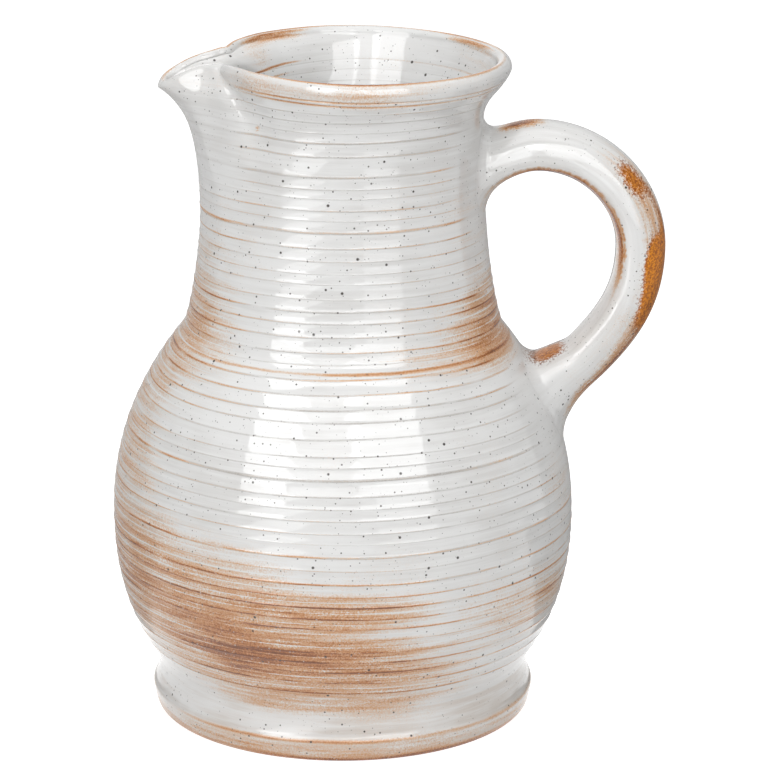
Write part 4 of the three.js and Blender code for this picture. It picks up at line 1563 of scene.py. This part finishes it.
@dataclass
class Handle:
    """The pulled strap: a soft oval that springs from the neck, arches over and ends on the belly."""

    outline: BodyOutline
    # The strap and its middle line
    thickness: float = 17.8
    width: float = 24.0
    top: float = 207.6
    top_radius: float = 69.0
    reach: float = 106.2
    reach_height: float = 170.5
    arch: float = 0.54
    upper_lead: tuple[float, float] = (0.2, 0.33)
    top_lead: float = 0.5
    outer_lead: float = 0.5
    lower_lead: tuple[float, float] = (0.5, 0.3)
    sink: float = 8.0
    # Its roots on the neck and on the belly
    upper_height: float = 200.0
    upper_span: float = 27.0
    upper_width: float = 31.0
    upper_length: float = 18.0
    lower_height: float = 116.3
    lower_span: float = 30.0
    lower_width: float = 31.0
    lower_length: float = 20.0
    flare_power: float = 3.0
    fillet: float = 3.4
    embed: float = 0.5
    seated: float = 0.85
    # Its section
    softness: float = 0.9
    inner_flatness: float = 0.8
    fullness: float = 0.27
    # How finely it is divided
    sides: int = 144
    stations: int = 150
    crowding: float = 0.5
    fillet_points: int = 12
    line_points: tuple[int, int, int] = (300, 400, 400)
    golds: tuple[Stain, ...] = (
        Stain(54, 28, 55, 8.5, 0.5, 2),
        Stain(28, 13, 70, 12, 0.3, 2),
        Stain(38, 40, 91, 15.5, 1.0, 2),
        Stain(58, 24, 83, 7, 0.55, 2),
        Stain(172, 30, 136.5, 9, 0.56, 2),
        Stain(300, 40, 84, 16, 0.5),
    )
    stains: tuple[Stain, ...] = (
        Stain(8, 22, 15, 7, 1.1),
        Stain(30, 30, 122, 17, 0.8),
        Stain(330, 40, 128, 18, 0.4),
        Stain(44, 44, 76, 34, 0.52),
        Stain(90, 60, 118, 24, 0.14),
    )
    pull_lines: tuple[Stain, ...] = (
        Stain(148, 18, 31, 23, 0.95),
        Stain(151, 15, 64, 26, 0.9),
        Stain(139, 3, 76, 14, 0.55),
        Stain(131, 2.6, 72, 12, 0.4),
        Stain(199, 9, 40, 40, 0.8),
        Stain(26, 3, 122, 16, 0.5),
        Stain(42, 2.4, 127, 12, 0.42),
    )

    @cached_property
    def line(self) -> Array:
        """The strap's middle line, from inside the neck's wall to inside the belly's, as X and height."""
        upper = float(self.outline.radius(self.upper_height))
        lower = float(self.outline.radius(self.lower_height))
        rise, run = self.top - self.upper_height, self.top_radius - upper
        over = (self.reach - self.top_radius) * self.arch
        drop = (self.top - self.reach_height) * self.arch
        fall, tuck = self.reach_height - self.lower_height, self.reach - lower
        top = (self.top_radius, self.top)
        out = (self.reach, self.reach_height)
        curves = [
            [(upper - self.sink, self.upper_height - self.sink * rise / run),
             (upper + run * self.upper_lead[0], self.upper_height + rise * self.upper_lead[1]),
             (top[0] - run * self.top_lead, top[1]), top],
            [top, (top[0] + over, top[1]), (out[0], out[1] + drop), out],
            [out, (out[0], out[1] - fall * self.outer_lead),
             (lower + tuck * self.lower_lead[0], self.lower_height + fall * self.lower_lead[1]),
             (lower - self.sink, self.lower_height - self.sink)],
        ]
        first, *others = (bezier(points, count) for points, count in zip(curves, self.line_points))
        return np.concatenate([first, *(other[1:] for other in others)])

    @cached_property
    def run(self) -> Array:
        """The length along the middle line at its points."""
        return np.concatenate([[0], np.cumsum(np.hypot(*np.diff(self.line, axis=0).T))])

    @cached_property
    def gap(self) -> Array:
        """Distance of the middle line's points from the wall behind them."""
        radius, height = self.line.T
        return (radius - self.outline.radius(height)) * np.cos(np.arctan(self.outline.slope(height)))

    def where_lifted(self, lift: Array | float, values: Array) -> tuple[Array, Array]:
        """Finds where the middle line stands off the wall by given distances, at each of its ends.

        Args:
            lift: the distances.
            values: what is wanted there, for each point of the middle line.

        Returns:
            The values at the neck and at the belly.
        """
        middle = int(np.argmax(self.gap))
        from_neck, from_belly = slice(None, middle), slice(None, middle, -1)
        return tuple(np.interp(lift, self.gap[side], values[side]) for side in (from_neck, from_belly))

    def down_wall(self) -> Array:
        """The way the belly's wall runs down past the lower root, as X and height."""
        below = self.lower_height - self.lower_span / 2
        way = np.array([float(self.outline.radius(below) - self.outline.radius(self.lower_height)),
                        below - self.lower_height])
        return way / np.linalg.norm(way)

    def marks(self) -> Array:
        """Lengths along the middle line where the rings lie, close together in the fillets of the roots."""
        turn = np.linspace(math.pi / 2, 0, self.fillet_points)
        lift = np.concatenate([[-self.embed], self.fillet * (1 - np.sin(turn))])
        start, end = self.where_lifted(lift, self.run)
        even = np.linspace(0, 1, self.stations)
        crowded = (1 - np.cos(math.pi * even)) / 2
        share = self.crowding * crowded + (1 - self.crowding) * even
        between = start[-1] + (end[-1] - start[-1]) * share[1:-1]
        return np.concatenate([start, between, end[::-1]])

    def section(self, turn: Array) -> tuple[Array, Array]:
        """The strap's section, round outside and flatter inside, where a thumb ran along it.

        Args:
            turn: angles round the section, from the outer side towards the camera.

        Returns:
            Shares of half the thickness outwards and of half the width towards the back.
        """
        power = np.where(np.cos(turn) > 0, self.softness, self.inner_flatness)
        out_share = np.sign(np.cos(turn)) * np.abs(np.cos(turn)) ** power
        side_share = -np.sign(np.sin(turn)) * np.abs(np.sin(turn)) ** self.softness
        side_share = side_share * (1 - self.fullness * np.cos(turn))
        return out_share, side_share / np.abs(side_share).max()

    def half_size(self, size: float, tall: float, low: float, upper: Array, lower: Array) -> Array:
        """Half of the section's size at each ring, spreading towards both roots.

        Args:
            size: the strap's own size.
            tall: the size on the neck.
            low: the size on the belly.
            upper: nearness to the neck.
            lower: nearness to the belly.

        Returns:
            The half sizes.
        """
        grown = (tall - size) * upper ** self.flare_power + (low - size) * lower ** self.flare_power
        return (size + grown) / 2

    def rings(self, marks: Array, turn: Array) -> Array:
        """Places the strap's rings, turned and bent on to the walls at its roots.

        Args:
            marks: each ring's length along the middle line.
            turn: angles round the section.

        Returns:
            Places in millimetres.
        """
        slopes = np.gradient(self.line, self.run, axis=0)
        centre, along = (np.column_stack([np.interp(marks, self.run, values[:, k]) for k in (0, 1)])
                         for values in (self.line, slopes))
        along /= np.linalg.norm(along, axis=1, keepdims=True)
        lift = np.interp(marks, self.run, self.gap)
        start, end = self.where_lifted(0.0, self.run)
        upper = 1 - np.clip((marks - start) / self.upper_length, 0, 1)
        lower = 1 - np.clip((end - marks) / self.lower_length, 0, 1)
        close = np.clip(1 - np.maximum(lift, 0) / self.fillet, 0, 1)
        near_root = np.maximum(upper, lower) > 0
        flare = np.where(near_root, self.fillet * (1 - np.sqrt(1 - close ** 2)), 0.0)
        out_half = self.half_size(self.thickness, self.upper_span, self.lower_span, upper, lower) + flare
        side_half = self.half_size(self.width, self.upper_width, self.lower_width, upper, lower) + flare
        out_share, side_share = self.section(turn)
        out_by = out_half[:, None] * out_share
        side_by = side_half[:, None] * side_share
        down = self.down_wall()
        outward = np.column_stack([-along[:, 1], along[:, 0]])
        for nearness, wall_way in ((upper, np.array([0.0, 1.0])), (lower, down)):
            outward = outward + smoothstep(nearness, 0, 1)[:, None] * (wall_way - outward)
        outward /= np.linalg.norm(outward, axis=1, keepdims=True)
        free = np.stack([centre[:, :1] + out_by * outward[:, :1], side_by,
                         centre[:, 1:] + out_by * outward[:, 1:]], axis=-1)
        on_neck = self.outline.on_wall(centre[:, 1:] + out_by, side_by, lift[:, None])
        foot = centre[:, 1:] - lift[:, None] * math.sin(math.atan2(down[0], -down[1]))
        on_belly = self.outline.on_wall(foot + out_by * down[1], side_by, lift[:, None])
        rings = free + smoothstep(upper, 0, self.seated)[:, None, None] * (on_neck - free)
        return rings + smoothstep(lower, 0, self.seated)[:, None, None] * (on_belly - rings)

    def build(self, glaze: StonewareGlaze) -> Piece:
        """Builds the strap with its roots smoothed into the walls, and glazes it.

        Args:
            glaze: the handle's glaze.

        Returns:
            The finished handle.
        """
        marks = self.marks()
        turn = np.linspace(0, 2 * math.pi, self.sides, endpoint=False)
        angle, length = np.meshgrid(np.degrees(turn), marks - self.sink)
        mean_radius = (self.thickness + self.width) / 4
        round_strap = np.radians(np.abs(180 - angle)) * mean_radius
        flow = np.stack([length, 0 * angle, round_strap], axis=-1)
        paints = {paint: stained(stains, angle, length)
                  for paint, stains in ((Paint.GOLD, self.golds), (Paint.RUST, self.stains),
                                        (Paint.EDGE, self.pull_lines))}
        made = skin("handle_pulled", self.rings(marks, turn), Ends.CAPPED, paints, flow)
        made.data.materials.append(glaze.material)
        return settle(made, "handle")


@dataclass
class SlipJoints:
    """The luting slip in the joints: rings that keep their CAD solids, and pads under the handle."""

    handle: Handle
    rings: tuple[str, ...] = ("shoulder_slip", "foot_slip")
    thickness: float = 0.9
    margin: float = 0.6
    bedding: float = 0.05
    pad_shares: tuple[float, ...] = (0.3, 0.7, 1.0)
    sides: int = 48

    def build(self, slip: FiredSlip) -> list[Piece]:
        """Dresses the rings and builds the pads.

        Args:
            slip: the finish.

        Returns:
            The pads and the rings.
        """
        strap = self.handle
        upper, lower = (float(height) for height in strap.where_lifted(0.0, strap.line[:, 1]))
        lower_tall = strap.lower_span * strap.down_wall()[1]
        pads = [self.build_pad("upper_handle_slip", slip, upper, strap.upper_span, strap.upper_width),
                self.build_pad("lower_handle_slip", slip, lower, lower_tall, strap.lower_width)]
        rings = [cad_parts[name] for name in self.rings]
        for ring in rings:
            ring.data.materials.clear()
            ring.data.materials.append(slip.material)
        return pads + rings

    def build_pad(self, node: str, slip: FiredSlip, height: float, tall: float, wide: float) -> Piece:
        """Builds the pad of slip between a root of the handle and the wall, just inside the root.

        Args:
            node: the CAD node that it stands for.
            slip: the finish.
            height: the root's height on the wall.
            tall: the root's height, counted towards its outer side.
            wide: the root's width.

        Returns:
            The finished pad.
        """
        turn = np.linspace(0, 2 * math.pi, self.sides, endpoint=False)
        out_share, side_share = self.handle.section(turn)
        upward = (tall / 2 - math.copysign(self.margin, tall)) * out_share
        sideways = (wide / 2 - self.margin) * side_share
        layers = [(share, self.bedding) for share in self.pad_shares]
        layers += [(share, self.thickness) for share in reversed(self.pad_shares)]
        rings = np.stack([self.handle.outline.on_wall(height + share * upward, share * sideways, lift)
                          for share, lift in layers])
        made = skin(node + "_pad", rings, Ends.CAPPED, {})
        made.data.materials.append(slip.material)
        return settle(made, node)


@dataclass(frozen=True)
class Softbox:
    """A flat, soft studio lamp that faces the pitcher's axis at a height."""

    name: str
    azimuth: float
    elevation: float
    distance: float
    aim_height: float
    width: float
    height: float
    brightness: float
    use: LampUse = LampUse.LIGHT
    roll: float = 0.0

    def build(self) -> None:
        """Places the lamp round its aim, turns it there and sets its power from its brightness."""
        lamp = bpy.data.lights.new(self.name, "AREA")
        lamp.shape = "RECTANGLE"
        lamp.size, lamp.size_y = self.width * MM, self.height * MM
        lamp.energy = self.brightness * math.pi * lamp.size * lamp.size_y
        turn, rise = math.radians(self.azimuth), math.radians(self.elevation)
        way = Vector((math.sin(turn) * math.cos(rise), -math.cos(turn) * math.cos(rise), math.sin(rise)))
        made = bpy.data.objects.new(self.name, lamp)
        made.location = (Vector((0.0, 0.0, self.aim_height)) + way * self.distance) * MM
        lean = Quaternion((0.0, 0.0, 1.0), math.radians(self.roll))
        made.rotation_euler = (way.to_track_quat("Z", "Y") @ lean).to_euler()
        made.visible_camera = False
        made.visible_diffuse = self.use is LampUse.LIGHT
        made.visible_glossy = self.use is LampUse.SHEEN
        bpy.context.scene.collection.objects.link(made)


@dataclass
class Studio:
    """A white sweep, soft lamps, grey cards and the camera at the photograph's angle."""

    camera_back: float = 1250.0
    camera_height: float = 478.2
    camera_down: float = 16.134
    camera_pan: float = 0.775
    camera_roll: float = 0.3
    camera_reach: tuple[float, float] = (50.0, 60000.0)
    lens_pixels: float = 3601.5
    image_width: int = 780
    sensor: float = 36.0
    floor_size: float = 9000.0
    floor_white: float = 0.68
    floor_glow: float = 0.86
    left_flag_grey: float = 0.86
    right_flag_grey: float = 0.62
    flag_inner: float = 66.0
    flag_outer: float = 460.0
    flag_back: float = 165.0
    flag_top: float = 460.0
    flag_front: float = 10.0
    flag_floor: float = 104.0
    flag_lift: float = 0.5
    ambient: float = 0.34
    softboxes: tuple[Softbox, ...] = (
        Softbox("left_softbox", -40.5, 31, 1000, 120, 420, 1000, 1.24),
        Softbox("middle_softbox", -13, 31, 1000, 120, 270, 1000, 1.24),
        Softbox("right_softbox", 27, 31, 1000, 120, 716, 1000, 1.05),
        Softbox("low_left_softbox", -28, 0, 640, 100, 430, 190, 1.15),
        Softbox("low_right_softbox", 37, 0, 640, 100, 430, 190, 0.5),
        Softbox("top_softbox", -8, 80, 800, 220, 700, 560, 2.4),
        Softbox("left_window", -40.2, 28.6, 1010, 120, 438, 832, 3.8, LampUse.SHEEN),
        Softbox("middle_window", -10.2, 32.8, 1010, 120, 600, 664, 2.2, LampUse.SHEEN),
        Softbox("right_window", 25.5, 31.3, 1010, 120, 640, 724, 3.2, LampUse.SHEEN),
        Softbox("low_left_window", -31, 0, 640, 115, 210, 340, 2.1, LampUse.SHEEN, 42),
        Softbox("low_right_window", 30, 0, 650, 185, 330, 160, 1.7, LampUse.SHEEN),
        Softbox("top_window", -8, 80, 810, 220, 700, 560, 1.1, LampUse.SHEEN),
    )

    def build(self) -> None:
        """Builds the floor, the cards, the world, the lamps and the camera."""
        self.build_floor()
        self.build_flags()
        self.build_world()
        for softbox in self.softboxes:
            softbox.build()
        self.build_camera()
        bpy.context.scene.view_settings.view_transform = "Standard"

    def build_camera(self) -> None:
        """Sets up the camera where the photograph's stood, with a lens of the same angle."""
        data = bpy.data.cameras.new("camera")
        data.sensor_fit = "HORIZONTAL"
        data.sensor_width = self.sensor
        data.lens = self.lens_pixels * self.sensor / self.image_width
        data.clip_start, data.clip_end = (reach * MM for reach in self.camera_reach)
        camera = bpy.data.objects.new("camera", data)
        camera.location = Vector((0.0, -self.camera_back, self.camera_height)) * MM
        look = Euler((math.radians(90 - self.camera_down), 0.0, math.radians(-self.camera_pan)))
        roll = Euler((0.0, 0.0, math.radians(self.camera_roll)))
        camera.rotation_euler = (look.to_matrix() @ roll.to_matrix()).to_euler()
        bpy.context.scene.collection.objects.link(camera)
        bpy.context.scene.camera = camera

    def build_sheet(self, name: str, corners: Sequence[Sequence[float]], faces: Sequence[Sequence[int]],
                    material: Material) -> Piece:
        """Lays out a flat or folded sheet that isn't part of the pitcher.

        Args:
            name: the sheet's name.
            corners: its corners, in millimetres.
            faces: the corners of each face.
            material: its finish.

        Returns:
            The sheet.
        """
        mesh = bpy.data.meshes.new(name)
        mesh.from_pydata((np.array(corners) * MM).tolist(), [], faces)
        mesh.materials.append(material)
        sheet = bpy.data.objects.new(name, mesh)
        bpy.context.scene.collection.objects.link(sheet)
        return sheet

    def build_floor(self) -> None:
        """Builds the pale floor, which keeps the pitcher's shadow."""
        material = bpy.data.materials.new("matt_white_paper")
        tree = cleared(material)
        paper = add(tree, "ShaderNodeBsdfDiffuse", {"Color": (self.floor_white,) * 3 + (1.0,)})
        glow = add(tree, "ShaderNodeEmission", {"Color": (1.0, 1.0, 1.0, 1.0), "Strength": self.floor_glow})
        none = add(tree, "ShaderNodeEmission", {"Strength": 0.0})
        lifted = add(tree, "ShaderNodeMixShader", (self.seen(tree), none, glow))
        shader = add(tree, "ShaderNodeAddShader", (paper, lifted))
        add(tree, "ShaderNodeOutputMaterial", {"Surface": shader})
        half = self.floor_size / 2
        corners = [(-half, -half, 0), (half, -half, 0), (half, half, 0), (-half, half, 0)]
        self.build_sheet("studio_floor", corners, [(0, 1, 2, 3)], material)

    def build_flags(self) -> None:
        """Stands a grey card behind each side of the pitcher and lays it forward along the floor.

        The cards are seen only in the pitcher's gloss, where they darken its limbs.
        """
        low, top, back, front = self.flag_lift, self.flag_top, self.flag_back, self.flag_front
        sides = (("left_flag", -1, self.left_flag_grey), ("right_flag", 1, self.right_flag_grey))
        for name, side, grey in sides:
            material = bpy.data.materials.new("matt_grey_card_of_" + name)
            tree = cleared(material)
            card = add(tree, "ShaderNodeBsdfDiffuse", {"Color": (grey,) * 3 + (1.0,)})
            add(tree, "ShaderNodeOutputMaterial", {"Surface": card})
            near, far, beside = (side * size for size in (self.flag_inner, self.flag_outer, self.flag_floor))
            corners = [(near, back, low), (far, back, low), (far, back, top), (near, back, top),
                       (beside, front, low), (far, front, low)]
            flag = self.build_sheet(name, corners, [(0, 1, 2, 3), (4, 5, 1, 0)], material)
            flag.visible_camera = False
            flag.visible_diffuse = False
            flag.visible_shadow = False

    def build_world(self) -> None:
        """Builds the white surround, which lights the pitcher less than it shows."""
        world = bpy.data.worlds.new("white_studio")
        tree = cleared(world)
        strength = add(tree, MAP_RANGE, {"Value": self.seen(tree), "To Min": self.ambient, "To Max": 1.0})
        surround = add(tree, "ShaderNodeBackground", {"Color": (1.0, 1.0, 1.0, 1.0), "Strength": strength})
        add(tree, "ShaderNodeOutputWorld", {"Surface": surround})
        bpy.context.scene.world = world

    def seen(self, tree: Tree) -> Socket:
        """Adds the nodes that say whether a ray comes from the camera, a reflection or through glass."""
        seen = add(tree, "ShaderNodeLightPath", out="Is Camera Ray")
        rays = seen.node.outputs
        for kind in ("Is Glossy Ray", "Is Transmission Ray"):
            seen = add(tree, MATH, (seen, rays[kind]), operation="MAXIMUM")
        return seen


def main() -> None:
    """Builds the pitcher's pieces in order, reports each, then builds the studio."""
    logging.basicConfig(level=logging.INFO, format="%(name)s: %(message)s")
    rings = ThrowingRings()
    white = StonewareGlaze("white_stoneware_glaze", rings)
    foot = StonewareGlaze("thin_foot_glaze", rings, shade="#D0C8C0", roughness=0.1)
    handle_glaze = StonewareGlaze("handle_stoneware_glaze", rings)
    slip = FiredSlip("fired_luting_slip")
    clay = FiredSlip("bare_stoneware_clay", colour="#C29A7C", dark="#A77F64")
    outline = BodyOutline()
    strap = Handle(outline)
    pieces = [Belly(outline).build(white, clay), Neck(outline).build(white), FootRing(outline).build(foot),
              strap.build(handle_glaze), *SlipJoints(strap).build(slip)]
    for piece in pieces:
        log.info("%s has %d faces in %s", piece.name, len(piece.data.polygons), piece.data.materials[0].name)
    Studio().build()


if __name__ == "__main__":
    main()
